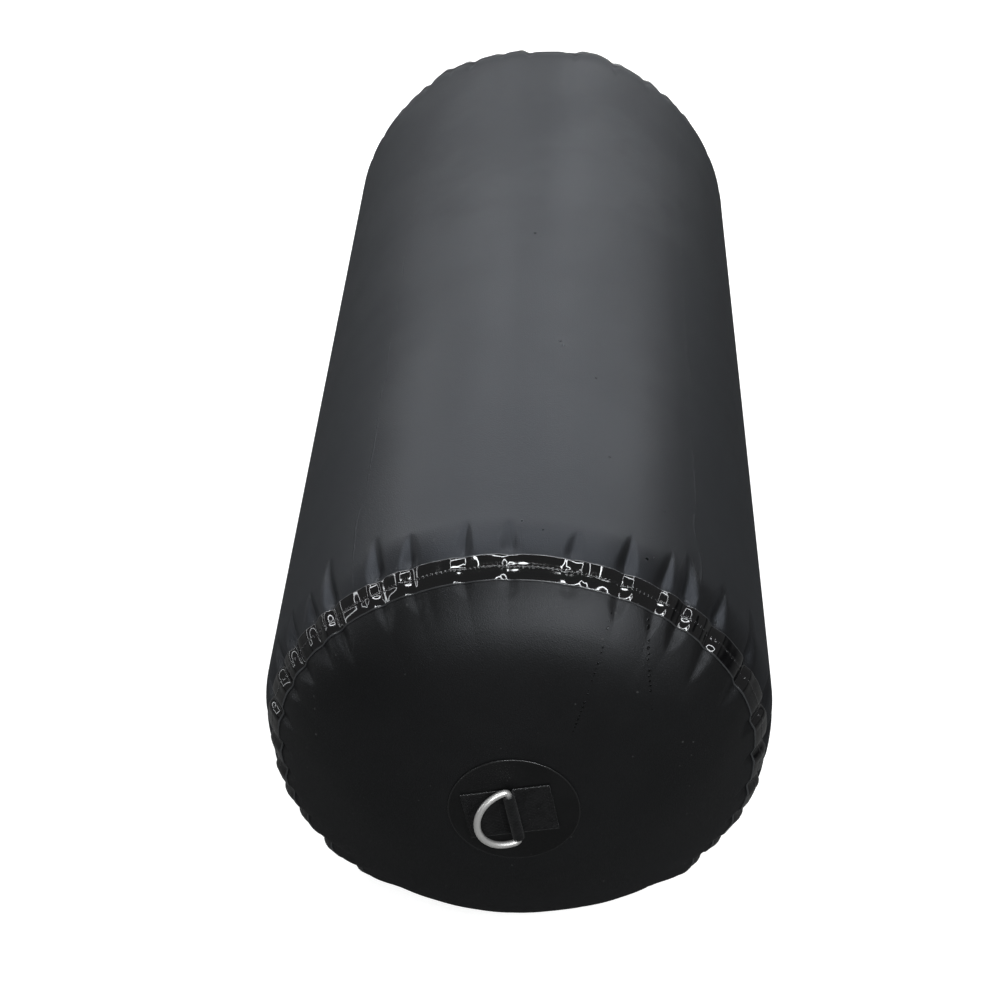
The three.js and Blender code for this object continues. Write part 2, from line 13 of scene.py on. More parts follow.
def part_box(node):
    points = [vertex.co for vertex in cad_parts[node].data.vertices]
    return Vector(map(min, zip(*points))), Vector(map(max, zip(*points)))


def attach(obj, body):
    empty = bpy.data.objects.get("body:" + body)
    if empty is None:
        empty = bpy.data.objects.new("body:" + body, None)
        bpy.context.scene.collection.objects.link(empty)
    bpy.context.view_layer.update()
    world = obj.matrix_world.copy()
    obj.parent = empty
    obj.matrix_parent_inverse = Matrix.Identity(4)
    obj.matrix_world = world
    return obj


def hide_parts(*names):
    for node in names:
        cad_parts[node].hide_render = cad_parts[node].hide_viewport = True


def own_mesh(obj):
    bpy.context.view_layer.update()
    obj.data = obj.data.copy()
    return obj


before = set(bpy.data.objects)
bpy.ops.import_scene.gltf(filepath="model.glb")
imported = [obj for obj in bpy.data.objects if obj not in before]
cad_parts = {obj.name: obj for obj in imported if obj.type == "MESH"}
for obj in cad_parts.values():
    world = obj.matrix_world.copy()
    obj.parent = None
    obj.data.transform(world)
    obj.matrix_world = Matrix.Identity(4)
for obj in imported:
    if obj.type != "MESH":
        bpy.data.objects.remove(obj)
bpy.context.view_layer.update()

bl_info = {
    "name": "Boat Fender",
    "version": (1, 0, 0),
    "blender": (4, 5, 0),
    "location": "3D View > Sidebar > Fender",
    "description": "Builds an inflatable boat fender piece by piece round its packed frame",
    "category": "Object",
}

BODY = "chamber"
NEAR, FAR = -1, 1
END_NAMES = {NEAR: "near", FAR: "far"}

# Form of the chamber's round ends
END_FULLNESS = 0.9  # bulge of an end, as a share of a limp balloon's
CROWN_STEP = 0.00025  # along the skin, in working out its curve
FLAT_EDGE = 0.062  # the panel is flat inside this radius
CROWN_EDGE = 0.094  # and on its own curve outside this one
FLAT_LEVEL = 0.070  # the flat stands as far out as the curve does at this radius
LEAN_START = 0.070  # the near end leans in full inside this radius
LEAN_REACH = 0.190  # and not at all outside this one
GROUND_EASE = 0.0006  # softness of the skin's turn on to the ground
END_ROWS = 0.045  # close rows reach this far along the straight sleeve

# Puckers at the seam, and the film that bunches up in them
FULL_DEPTH = 0.018  # from the seam to where a pucker begins to taper
WRINKLE_COUNT = 70
LOBE_HEIGHT = 0.0012  # of the skin that bellies out between two puckers
BUNCH_HEIGHT = 0.0017
BUNCH_HALF_WIDTH = 0.0105
BUNCH_OFFSET = 0.0075  # from a pucker's line down to its bunch
TAPE_HUMP = 0.00014  # of each half of the tape
WELD_BEAD = 0.00022  # of the tape's middle

TOUCH = 0.0003  # gap between faces that touch
PATCH_THICKNESS = 0.001

# Valve
VALVE_RISE = 0.110
VALVE_HOLE = 0.0144
VALVE_SHARP = math.radians(32)

# Puckers as angle in degrees, from +X towards +Z, and depth in millimetres at the seam
FOLDS = {
    NEAR: [
        (3, 5), (15, 6), (28, 8), (42, 8), (51, 7), (58, 4), (67, 5), (79, 3), (92, 3.5),
        (102, 3.5), (114, 5), (122, 7.5), (135, 8), (141.5, 5), (150, 6), (157, 5), (167, 6),
        (178, 5), (187, 5), (195, 5), (203, 6), (214, 8), (225, 8), (236, 4), (247, 4),
        (260, 3), (270, 4), (280, 4), (291, 5), (302, 6), (310, 6), (323, 8), (331, 5),
        (341, 6), (352, 5)],
    FAR: [
        (3, 4), (14, 4), (26, 3), (40, 2.5), (49, 2.5), (56, 3.5), (67.5, 4), (80, 3),
        (94.5, 4), (103, 2), (112.5, 4), (120, 2), (129, 3), (140, 2), (150, 3), (158, 4),
        (168, 5), (178, 5), (188, 6), (196, 5), (205, 6), (215, 7), (226, 7), (237, 4),
        (248, 4), (260, 3), (270, 3), (280, 3), (291, 4), (302, 6), (312, 7), (322, 6),
        (331, 6), (341, 6), (352, 5)],
}
# Slow swells and sinks of the rims: angle and spread in degrees, and height in millimetres
SWELLS = {
    NEAR: [(208.5, 3, 2), (219, 4, 4.5), (229, 4.5, 4), (317, 4, 4), (2, 10, -3), (183, 8, -2.5),
           (283, 11, -3)],
    FAR: [(73, 5, 3), (90, 8, -4), (105, 5, -1.5), (122, 5, 3), (200, 20, 2), (320, 25, 2)],
}
# Where the columns of the skin stand between one valley (0) and the next (1)
PHASES = [0, 0.02, 0.05, 0.085, 0.125, 0.17, 0.22, 0.275, 0.335, 0.4, 0.46, 0.52, 0.58, 0.64,
          0.7, 0.755, 0.81, 0.86, 0.905, 0.945, 0.98]

SEED = 41
PATCH_SEED, STITCH_SEED, BUNCH_SEED = SEED + 7, SEED + 20, SEED + 60

# Packing creases along the sleeve, as angle in degrees and width, and its slow ripple
CREASES = [(48.7, 0.0016), (127.5, 0.0012), (236, 0.0014)]
LULL_HEIGHT = 0.00008
# Dried spots on the sleeve: place and radius. Trails of drips on the near end: start and end
# (across, up) and the largest radius of their dots.
SLEEVE_SPOTS = [
    ((0.0015, -0.4298, 0.4522), 0.0013), ((0.0190, -0.4387, 0.4506), 0.0011),
    ((0.0438, -0.4470, 0.4456), 0.0010), ((0.1228, -0.3690, 0.4165), 0.0014),
    ((0.0003, 0.0261, 0.4524), 0.0021), ((0.0290, -0.1640, 0.4503), 0.0015),
    ((0.0320, -0.1700, 0.4501), 0.0017), ((0.0627, -0.2128, 0.4436), 0.0013),
    ((0.0750, -0.3252, 0.4397), 0.0013), ((0.0940, -0.4360, 0.4315), 0.0013),
    ((0.1010, -0.4470, 0.4240), 0.0015), ((0.1054, -0.4421, 0.4250), 0.0017),
    ((0.1120, -0.4380, 0.4235), 0.0012), ((0.1090, -0.4490, 0.4190), 0.0014)]
END_TRAILS = [((0.0766, 0.4121), (0.0640, 0.3700), 0.0010),
              ((0.0640, 0.3700), (0.0472, 0.3119), 0.0014),
              ((0.1064, 0.4012), (0.1080, 0.3720), 0.0016),
              ((0.1080, 0.3720), (0.1125, 0.3314), 0.0012)]


def box_size(node, axis):
    low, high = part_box(node)
    return high[axis] - low[axis]


def length(name, description, value):
    return FloatProperty(
        name=name, description=description, default=value, unit="LENGTH", precision=4)


def degrees(name, description, value):
    return FloatProperty(
        name=name, description=description, default=math.radians(value), subtype="ANGLE")


class FenderSizes(bpy.types.PropertyGroup):
    """Sizes of the fender that its builder may change."""

    body_radius: length("Body radius", "Radius of the blown-up sleeve", box_size("sleeve", 0) / 2)
    straight_length: length("Straight length", "Sleeve between its two rounded ends", 0.852)
    fabric: length("Fabric", "Wall of the coated fabric", 0.001)
    flat_half_width: length(
        "Flat half width", "Half of the flat where the wall rests on the ground", 0.040)
    seam_arc: length("Seam arc", "Skin from the end of the straight sleeve to the seam", 0.0545)
    tape_width: length("Tape width", "Width of the tape welded over each seam", 0.025)
    tape_thickness: length("Tape thickness", "Thickness of the tape", 0.001)
    pucker_on_sleeve: length(
        "Puckers on sleeve", "Longest puckers, from the seam along the sleeve", 0.078)
    pucker_on_panel: length(
        "Puckers on panel", "Longest puckers, from the seam across the panel", 0.056)
    patch_radius: length(
        "Patch radius", "Round patch under each ring", box_size("near_ring_patch", 0) / 2)
    patch_rise: length("Patch rise", "Middle of the patch above the fender's axis", 0.005)
    near_lean: degrees("Near end lean", "Lean of the near end's flat middle, back at its top", 5.5)
    strap_width: length("Strap width", "Width of the webbing", 0.050)
    strap_thickness: length("Strap thickness", "Thickness of the webbing", 0.0018)
    strap_tilt: degrees("Strap tilt", "Right-hand tab up, seen from outside", 11)
    wire_radius: length("Wire radius", "Radius of the ring's wire", 0.003)
    ring_inner_width: length("Ring inner width", "Clear width of the ring along its bar", 0.051)


def colour(name, description, value):
    return FloatVectorProperty(
        name=name, description=description, subtype="COLOR", size=3, min=0, max=1, default=value)


class FenderColours(bpy.types.PropertyGroup):
    """Colours of the fender's finishes."""

    fabric: colour("Fabric", "Coated fabric of the sleeve and ends", (0.0047, 0.0047, 0.0048))
    tape: colour("Tape", "Glossy film over the seams", (0.0022, 0.0022, 0.0025))
    patch: colour("Patch", "Round patch under a ring", (0.0042, 0.0043, 0.0045))
    webbing: colour("Webbing", "Woven strap", (0.0042, 0.0042, 0.0044))
    thread: colour("Thread", "Sewing thread", (0.0065, 0.0065, 0.0068))
    steel: colour("Steel", "Ring of the fitting", (0.70, 0.69, 0.67))
    valve: colour("Valve", "Moulded valve body and cap", (0.011, 0.0115, 0.0125))
    button: colour("Button", "Push-button of the valve", (0.30, 0.31, 0.32))
    rubber: colour("Rubber", "Seals of the valve", (0.0075, 0.0072, 0.0070))
    floor: colour("Floor", "Plain floor", (0.60, 0.595, 0.58))


# The chamber's form


def eased(share):
    """A share that starts and ends its rise gently."""
    return share * share * (3 - 2 * share)


def facing(lean):
    """How far a skin that leans from the axis faces outwards, and how far along the fender."""
    out, along = END_FULLNESS * np.cos(lean), np.sin(lean)
    slope = np.hypot(out, along)
    return out / slope, along / slope


class Chamber:
    """Places on the blown-up skin, as rows along it and columns round it."""

    def __init__(self, sizes):
        self.radius = sizes.body_radius
        self.half_straight = sizes.straight_length / 2
        self.seam = sizes.seam_arc
        self.reach = (sizes.pucker_on_sleeve, sizes.pucker_on_panel)
        self.axis_height = math.sqrt(self.radius**2 - sizes.flat_half_width**2)
        self.crown = self.crown_profile()
        self.flat_y = float(np.interp(-FLAT_LEVEL, -self.crown[1], self.crown[2]))
        self.lean = {NEAR: math.tan(sizes.near_lean), FAR: 0.0}
        count = len(FOLDS[NEAR])
        self.fold = np.repeat(np.arange(count), len(PHASES))
        self.after = (self.fold + 1) % count
        self.phase = np.tile(PHASES, count)
        self.angle, self.pitch, self.folds = {}, {}, {}
        for side in (NEAR, FAR):
            angles = np.array(FOLDS[side], float)[:, 0]
            pitches = np.diff(np.append(angles, angles[0] + 360))
            self.angle[side] = angles[self.fold] + pitches[self.fold] * self.phase
            self.pitch[side] = np.radians(pitches[self.fold]) * self.radius
            self.folds[side] = self.fold_habits(side)

    def crown_profile(self):
        """A round end that is free to pucker carries tension along its length only, so where
        its radius is r, its lean from the axis has the cosine (r / R) squared."""
        rows = [(0.0, self.radius, 0.0, 0.0)]
        arc, r, y, lean = rows[0]
        while r > CROWN_STEP and lean < math.pi / 2:
            middle = lean + r * CROWN_STEP / self.radius**2
            lower = r - math.sin(middle) * CROWN_STEP
            arc += CROWN_STEP
            y += math.cos(middle) * CROWN_STEP * END_FULLNESS
            lean += (r + lower) * CROWN_STEP / self.radius**2
            r = lower
            rows.append((arc, r, y, lean))
        return np.array(rows).T

    def fold_habits(self, side):
        """Depth, reach on the sleeve and panel, sideways drift and half width of each pucker,
        and the short wrinkles between them, at an end."""
        chance = np.random.default_rng(SEED + side)
        depths = np.array(FOLDS[side], float)[:, 1] / 1000
        count = len(depths)
        share = (depths - depths.min()) / np.ptp(depths)
        sleeve = self.reach[0] * (0.62 + 0.32 * share + chance.uniform(-0.10, 0.10, count))
        panel = self.reach[1] * (0.50 + 0.28 * share + chance.uniform(-0.12, 0.12, count))
        drift = chance.normal(0, 1.1, count)
        width = 0.0085 + 0.55 * depths + chance.uniform(-0.001, 0.001, count)
        lowest = np.array([0, 0.2, 3.5, -14, 10])
        highest = np.array([360, 0.7, 6.5, 18, 22])
        wrinkles = chance.uniform(lowest[:, None], highest[:, None], (5, WRINKLE_COUNT))
        wrinkles[1:] /= 1000
        return depths, sleeve, panel, drift, width, wrinkles

    def rows_on_crown(self, arcs):
        """Radius, distance past the straight sleeve, and outward direction at arcs."""
        arcs = np.asarray(arcs, float)
        table_arc, table_r, table_y, table_lean = self.crown
        inside = np.clip(arcs, 0, None)
        r = np.interp(inside, table_arc, table_r)
        y = np.interp(inside, table_arc, table_y) + np.minimum(arcs, 0)
        lean = np.interp(inside, table_arc, table_lean)
        return arcs, r, y, *facing(lean)

    def rows_by_radius(self, radii):
        """The same for the middle of a panel, which its patch holds flat."""
        radii = np.asarray(radii, float)
        table_arc, table_r, table_y, table_lean = self.crown
        arcs = np.interp(-radii, -table_r, table_arc)
        share = eased(np.clip((radii - FLAT_EDGE) / (CROWN_EDGE - FLAT_EDGE), 0, 1))
        y = np.minimum(np.interp(-radii, -table_r, table_y), self.flat_y)
        y = self.flat_y + (y - self.flat_y) * share
        out = facing(np.interp(-radii, -table_r, table_lean))[0] * share
        return arcs, radii, y, out, np.sqrt(1 - out**2)

    def degrees_from(self, side, angle):
        """Degrees from an angle to each column, the short way round."""
        return (self.angle[side] - angle + 180) % 360 - 180

    def dents(self, side, arcs):
        """How far the puckers and wrinkles push the skin in, for each arc and column."""
        depths, sleeve, panel, _, widths, wrinkles = self.folds[side]
        past_seam = (np.asarray(arcs) - self.seam)[:, None]
        away = eased(np.clip((np.abs(past_seam) - 0.009) / 0.016, 0, 1))
        under = 0.5 * (1 - np.sin(np.radians(self.angle[side])))[None, :]
        # The tape holds the puckers shallow at the seam, and more so at the top
        at_seam = 0.30 + 0.45 * under
        beside = np.where(past_seam < 0, 1.0, 0.36 + 0.55 * under)
        share = at_seam + (beside - at_seam) * away
        total = np.zeros((len(arcs), len(self.fold)))
        for fold, phase in ((self.fold, self.phase), (self.after, 1 - self.phase)):
            reach = np.where(past_seam > 0, panel[fold], sleeve[fold])
            left = np.clip((reach - np.abs(past_seam)) / (reach - FULL_DEPTH), 0, 1)
            width = widths[fold] * (0.25 + 0.75 * left**0.7)
            off = np.clip(phase * self.pitch[side] / width, 0, 1)
            total += depths[fold] * left**0.95 * 0.5 * (1 + np.cos(math.pi * off))
        total = total * share
        lobe = np.sin(math.pi * self.phase) * np.clip(self.pitch[side] / 0.040, 0.4, 1)
        total -= LOBE_HEIGHT * np.exp(-np.abs(past_seam) / 0.028) * lobe
        for angle, depth, width, middle, reach in wrinkles.T:
            away = np.radians(self.degrees_from(side, angle)) * self.radius / width
            along = (past_seam - middle) / reach
            total += depth * np.exp(-(away**2)) * np.exp(-(along**2))
        for angle, spread, height in SWELLS[side]:
            away = self.degrees_from(side, angle) / spread
            along = (past_seam - 0.008) / 0.048
            total -= height / 1000 * np.exp(-(away**2)) * np.exp(-(along**2))
        return total

    def bunches(self, side):
        """Height of the small round bunches of film on the lower flank of each pucker, for
        each column."""
        chance = np.random.default_rng(BUNCH_SEED + side)
        height = np.zeros(len(self.fold))
        for angle, depth in FOLDS[side]:
            down = -math.copysign(1, math.cos(math.radians(angle)))
            slip = chance.uniform(0.85, 1.15)
            size = chance.uniform(0.85, 1.2)
            middle = angle + down * math.degrees(BUNCH_OFFSET * slip / self.radius)
            away = np.radians(self.degrees_from(side, middle)) * self.radius
            near = np.clip(1 - np.abs(away) / (BUNCH_HALF_WIDTH * size), 0, 1)
            height += BUNCH_HEIGHT * min(1.25, 0.55 + depth / 12) * eased(near)
        return height

    def drift(self, side, arcs):
        """Degrees that each column has wandered at each arc."""
        drift = self.folds[side][3]
        wander = drift[self.fold] * (1 - self.phase)
        wander = wander + drift[self.after] * self.phase
        away = np.abs(np.asarray(arcs) - self.seam)
        share = np.clip(away / 0.06, 0, 1) ** 1.4 * np.exp(-np.clip(away - 0.08, 0, None) / 0.1)
        return share[:, None] * wander[None, :]

    def points(self, side, rows, offset=0.0, relief=None):
        """Rows by columns of points, an offset out from the fabric's outer face."""
        arcs, r, y, out, along = rows
        shift = offset - self.dents(side, arcs)
        if relief is not None:
            shift = shift + relief
        angle = np.radians(self.angle[side][None, :] + self.drift(side, arcs))
        radius = r[:, None] + out[:, None] * shift
        x = radius * np.cos(angle)
        z = radius * np.sin(angle)
        ground = -self.axis_height - offset
        above = z - ground
        z = ground + 0.5 * (above + np.sqrt(above**2 + 4 * GROUND_EASE**2))
        leaning = 1 - eased(np.clip((r - LEAN_START) / (LEAN_REACH - LEAN_START), 0, 1))
        distance = self.half_straight + y[:, None] + along[:, None] * shift
        distance = distance - self.lean[side] * z * leaning[:, None]
        return np.stack([x, side * distance, z + self.axis_height], axis=-1)

    def around(self, side=NEAR):
        """Distance round the skin of each column, in metres."""
        return np.radians(self.angle[side]) * self.radius


# Meshes


def object_from(name, points, faces, uvs=None):
    """Makes a mesh object. The uvs are one pair for each corner of each face, in order."""
    mesh = bpy.data.meshes.new(name)
    mesh.from_pydata([tuple(p) for p in points], [], faces)
    if uvs is not None:
        layer = mesh.uv_layers.new(name="Skin")
        layer.data.foreach_set("uv", np.asarray(uvs, np.float32).ravel())
    mesh.polygons.foreach_set("use_smooth", [True] * len(mesh.polygons))
    obj = bpy.data.objects.new(name, mesh)
    bpy.context.scene.collection.objects.link(obj)
    mesh.validate()
    return obj


def closed_skin(name, loops, around, along, ends=(None, None)):
    """A closed skin of loops that all have the same number of points. With no end points the
    loops run round to the first one again; else each end is closed by a point."""
    rows, columns = len(loops), len(loops[0])
    points = np.concatenate([np.asarray(loop) for loop in loops])
    edge = np.append(around, 2 * around[-1] - around[-2])
    faces, uvs = [], []
    turns = rows if ends[0] is None else rows - 1
    for i in range(turns):
        j = (i + 1) % rows
        for a in range(columns):
            b = (a + 1) % columns
            faces.append((i * columns + a, i * columns + b, j * columns + b, j * columns + a))
            uvs += [(edge[a], along[i]), (edge[a + 1], along[i]),
                    (edge[a + 1], along[j]), (edge[a], along[j])]
    points = list(points)
    for end, row, flip in ((ends[0], 0, True), (ends[1], rows - 1, False)):
        if end is None:
            continue
        tip = len(points)
        points.append(end)
        for a in range(columns):
            b = (a + 1) % columns
            pair = (row * columns + b, row * columns + a)
            at = [(edge[a + 1], along[row]), (edge[a], along[row])]
            if not flip:
                pair, at = pair[::-1], at[::-1]
            faces.append((*pair, tip))
            uvs += [*at, (edge[a], along[row])]
    obj = object_from(name, points, faces, uvs)
    face_out(obj)
    obj.data.set_sharp_from_angle(angle=math.radians(60))
    return obj


def face_out(obj):
    """Turns the faces of a closed mesh outwards."""
    made = bmesh.new()
    made.from_mesh(obj.data)
    if made.calc_volume(signed=True) < 0:
        bmesh.ops.reverse_faces(made, faces=made.faces)
    made.to_mesh(obj.data)
    made.free()


def finish_piece(obj, body, slot, *nodes):
    """Sets a piece on its body and hides the solids that it stands for; its finish is not used."""
    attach(obj, body)
    if nodes:
        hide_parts(*nodes)


def paint(obj, *materials):
    obj.data.materials.clear()
    for made in materials:
        obj.data.materials.append(made)


def spread(start, stop, first, last):
    """Values from start to stop whose steps grow from first to last."""
    steps = [0.0]
    span = abs(stop - start)
    while steps[-1] < span:
        share = steps[-1] / span
        steps.append(steps[-1] + first + (last - first) * share)
    steps = np.array(steps) / steps[-1] * span
    return start + math.copysign(1, stop - start) * steps


# Shader nodes


class Shader:
    """Short ways to add and join the nodes of one material or group."""

    def __init__(self, tree):
        self.tree = tree

    def add(self, kind, inputs=None, **settings):
        made = self.tree.nodes.new(kind)
        for key, value in settings.items():
            setattr(made, key, value)
        for key, value in (inputs or {}).items():
            self.put(made.inputs[key], value)
        return made

    def put(self, socket, value):
        if isinstance(value, bpy.types.NodeSocket):
            self.tree.links.new(value, socket)
        elif hasattr(value, "__len__") and len(value) == 3 and socket.type == "RGBA":
            socket.default_value = (*value, 1)
        else:
            socket.default_value = value

    def math(self, operation, *values, clamp=False):
        made = self.add("ShaderNodeMath", operation=operation, use_clamp=clamp)
        for socket, value in zip(made.inputs, values):
            self.put(socket, value)
        return made.outputs[0]

    def range(self, value, low, high, to_low=0.0, to_high=1.0, smooth=True):
        return self.add(
            "ShaderNodeMapRange",
            {"Value": value, "From Min": low, "From Max": high, "To Min": to_low,
             "To Max": to_high},
            interpolation_type="SMOOTHSTEP" if smooth else "LINEAR").outputs["Result"]

    def blend(self, share, first, second):
        made = self.add("ShaderNodeMix", data_type="RGBA")
        self.put(made.inputs["Factor"], share)
        self.put(made.inputs[6], first)
        self.put(made.inputs[7], second)
        return made.outputs[2]

    def noise(self, vector, scale, detail=3.0, roughness=0.5, distortion=0.0):
        return self.add(
            "ShaderNodeTexNoise",
            {"Vector": vector, "Scale": scale, "Detail": detail, "Roughness": roughness,
             "Distortion": distortion}).outputs["Fac"]

    def group(self, tree, inputs):
        made = self.add("ShaderNodeGroup", node_tree=tree)
        for key, value in inputs.items():
            self.put(made.inputs[key], value)
        return made.outputs

    def vector(self, operation, *values):
        made = self.add("ShaderNodeVectorMath", operation=operation)
        for socket, value in zip(made.inputs, values):
            self.put(socket, value)
        single = operation in ("DOT_PRODUCT", "LENGTH", "DISTANCE")
        return made.outputs["Value" if single else "Vector"]

    def apart(self, vector):
        return self.add("ShaderNodeSeparateXYZ", {"Vector": vector}).outputs

    def most(self, first, second):
        """The larger of two values, of which the first may be missing."""
        return second if first is None else self.math("MAXIMUM", first, second)

    def uneven(self, mask, rgb, low, high):
        """A colour that a mask takes from low to high times its strength."""
        return self.blend(mask, times(rgb, low), times(rgb, high))

    def grain(self, place, fine, ripple, share):
        return self.group(grain_group(), {
            "Vector": place, "Grain size": fine, "Ripple size": ripple, "Ripple share": share})

    def dust(self, place, size, amount):
        return self.group(
            dust_group(), {"Vector": place, "Fleck size": size, "Amount": amount})["Mask"]

    def glancing(self, low, high, amount):
        """A value that rises from nothing to an amount where the skin turns edge on."""
        facing = self.add("ShaderNodeLayerWeight", {"Blend": 0.5}).outputs["Facing"]
        return self.range(facing, low, high, 0.0, amount)

    def uv(self):
        return self.add("ShaderNodeUVMap", uv_map="Skin").outputs["UV"]

    def place(self):
        return self.add("ShaderNodeTexCoord").outputs["Object"]

    def bump(self, height, distance, normal=None):
        made = self.add(
            "ShaderNodeBump", {"Height": height, "Distance": distance, "Strength": 1.0})
        if normal is not None:
            self.put(made.inputs["Normal"], normal)
        return made.outputs["Normal"]


def times(rgb, factor):
    return tuple(min(1.0, c * factor) for c in rgb)


def built_once(name):
    """Lets the maker of a shader group run at the group's first use only."""
    def keep(build):
        return lambda: bpy.data.node_groups.get(name) or build(name)

    return keep


def new_group(name, inputs, outputs):
    """An empty shader group with named sockets, its Shader, and its inputs."""
    tree = bpy.data.node_groups.new(name, "ShaderNodeTree")
    for key, (kind, value) in inputs.items():
        socket = tree.interface.new_socket(key, in_out="INPUT", socket_type=f"NodeSocket{kind}")
        if value is not None:
            socket.default_value = value
    for key, kind in outputs.items():
        tree.interface.new_socket(key, in_out="OUTPUT", socket_type=f"NodeSocket{kind}")
    shader = Shader(tree)
    given = shader.add("NodeGroupInput").outputs
    result = shader.add("NodeGroupOutput").inputs
    return tree, shader, given, result


@built_once("Skin grain")
def grain_group(name):
    """Moulded or calendered grain: fine pits over broader ripples, as a height, with a mask of
    how worn the surface is."""
    tree, s, given, result = new_group(
        name,
        {"Vector": ("Vector", None), "Grain size": ("Float", 0.0012),
         "Ripple size": ("Float", 0.05), "Ripple share": ("Float", 0.5)},
        {"Height": "Float", "Cloud": "Float"})
    fine_scale = s.math("DIVIDE", 1.0, given["Grain size"])
    broad_scale = s.math("DIVIDE", 1.0, given["Ripple size"])
    fine = s.noise(given["Vector"], fine_scale, 2.0, 0.6)
    broad = s.noise(given["Vector"], broad_scale, 2.0, 0.45, 0.3)
    cloud = s.noise(given["Vector"], s.math("MULTIPLY", broad_scale, 0.45), 4.0, 0.6)
    fine_share = s.math("SUBTRACT", 1.0, given["Ripple share"])
    height = s.math("ADD", s.math("MULTIPLY", fine, fine_share),
                    s.math("MULTIPLY", broad, given["Ripple share"]))
    s.put(result["Height"], height)
    s.put(result["Cloud"], s.range(cloud, 0.32, 0.68))
    return tree


@built_once("Scrim print")
def scrim_group(name):
    """Woven scrim that shows through a coating, as a height."""
    tree, s, given, result = new_group(
        name, {"Vector": ("Vector", None), "Thread spacing": ("Float", 0.0014)},
        {"Height": "Float"})
    apart = s.apart(given["Vector"])
    turn = s.math("DIVIDE", math.pi, given["Thread spacing"])
    wave_u = s.math("ABSOLUTE", s.math("SINE", s.math("MULTIPLY", apart["X"], turn)))
    wave_v = s.math("ABSOLUTE", s.math("SINE", s.math("MULTIPLY", apart["Y"], turn)))
    patchy = s.range(s.noise(given["Vector"], 22.0, 3.0), 0.35, 0.7, 0.35, 1.0)
    s.put(result["Height"], s.math("MULTIPLY", s.math("MULTIPLY", wave_u, wave_v), patchy))
    return tree


@built_once("Dust")
def dust_group(name):
    """Fine dust and dried spray: a mask of small scattered flecks and a faint film."""
    tree, s, given, result = new_group(
        name, {"Vector": ("Vector", None), "Fleck size": ("Float", 0.0016),
               "Amount": ("Float", 0.5)},
        {"Mask": "Float"})
    scale = s.math("DIVIDE", 0.12, given["Fleck size"])
    cells = s.add(
        "ShaderNodeTexVoronoi", {"Vector": given["Vector"], "Scale": scale, "Randomness": 1.0})
    distance = s.math("DIVIDE", cells.outputs["Distance"], scale)
    chosen = s.add("ShaderNodeSeparateColor", {"Color": cells.outputs["Color"]}).outputs["Red"]
    size = s.math("MULTIPLY", s.math("MULTIPLY", chosen, chosen), given["Fleck size"])
    fleck = s.range(s.math("SUBTRACT", size, distance), 0.0, 0.0003)
    rare = s.range(chosen, 0.80, 0.86)
    s.put(result["Mask"], s.math("MULTIPLY", s.math("MULTIPLY", fleck, rare), given["Amount"]))
    return tree


@built_once("Drip trail")
def trail_group(name):
    """Dried drips: a mask of round dots scattered along the line between two places."""
    tree, s, given, result = new_group(
        name,
        {"Vector": ("Vector", None), "Start": ("Vector", None), "End": ("Vector", None),
         "Spacing": ("Float", 0.0042), "Dot radius": ("Float", 0.0013)},
        {"Mask": "Float"})
    span = s.vector("SUBTRACT", given["End"], given["Start"])
    here = s.vector("SUBTRACT", given["Vector"], given["Start"])
    share = s.math("DIVIDE", s.vector("DOT_PRODUCT", here, span),
                   s.vector("DOT_PRODUCT", span, span), clamp=True)
    away = s.vector("DISTANCE", here, s.vector("MULTIPLY", span, share))
    steps = s.math("DIVIDE", s.math("MULTIPLY", share, s.vector("LENGTH", span)),
                   given["Spacing"])
    beside = s.math("MULTIPLY", s.math("SUBTRACT", s.math("FRACT", steps), 0.5),
                    given["Spacing"])
    distance = s.math("SQRT", s.math("ADD", s.math("MULTIPLY", away, away),
                                     s.math("MULTIPLY", beside, beside)))
    uneven = s.range(s.noise(given["Vector"], 150.0, 2.0), 0.35, 0.60)
    radius = s.math("MULTIPLY", uneven, given["Dot radius"])
    dot = s.range(s.math("SUBTRACT", radius, distance), 0.0, 0.0004)
    s.put(result["Mask"], dot)
    return tree


DUST_COLOUR = (0.05, 0.05, 0.048)
WELD_PITCH = 0.0042  # of the dots that the hot weld leaves along the tape


def new_material(name):
    made = bpy.data.materials.new(name)
    made.use_nodes = True
    return made, Shader(made.node_tree), made.node_tree.nodes["Principled BSDF"]


def set_surface(shader, surface, **values):
    names = {
        "colour": "Base Color", "roughness": "Roughness", "normal": "Normal",
        "metallic": "Metallic", "specular": "Specular IOR Level", "sheen": "Sheen Weight",
        "sheen_roughness": "Sheen Roughness", "coat": "Coat Weight",
        "coat_roughness": "Coat Roughness", "tint": "Specular Tint",
    }
    for key, value in values.items():
        shader.put(surface.inputs[names[key]], value)


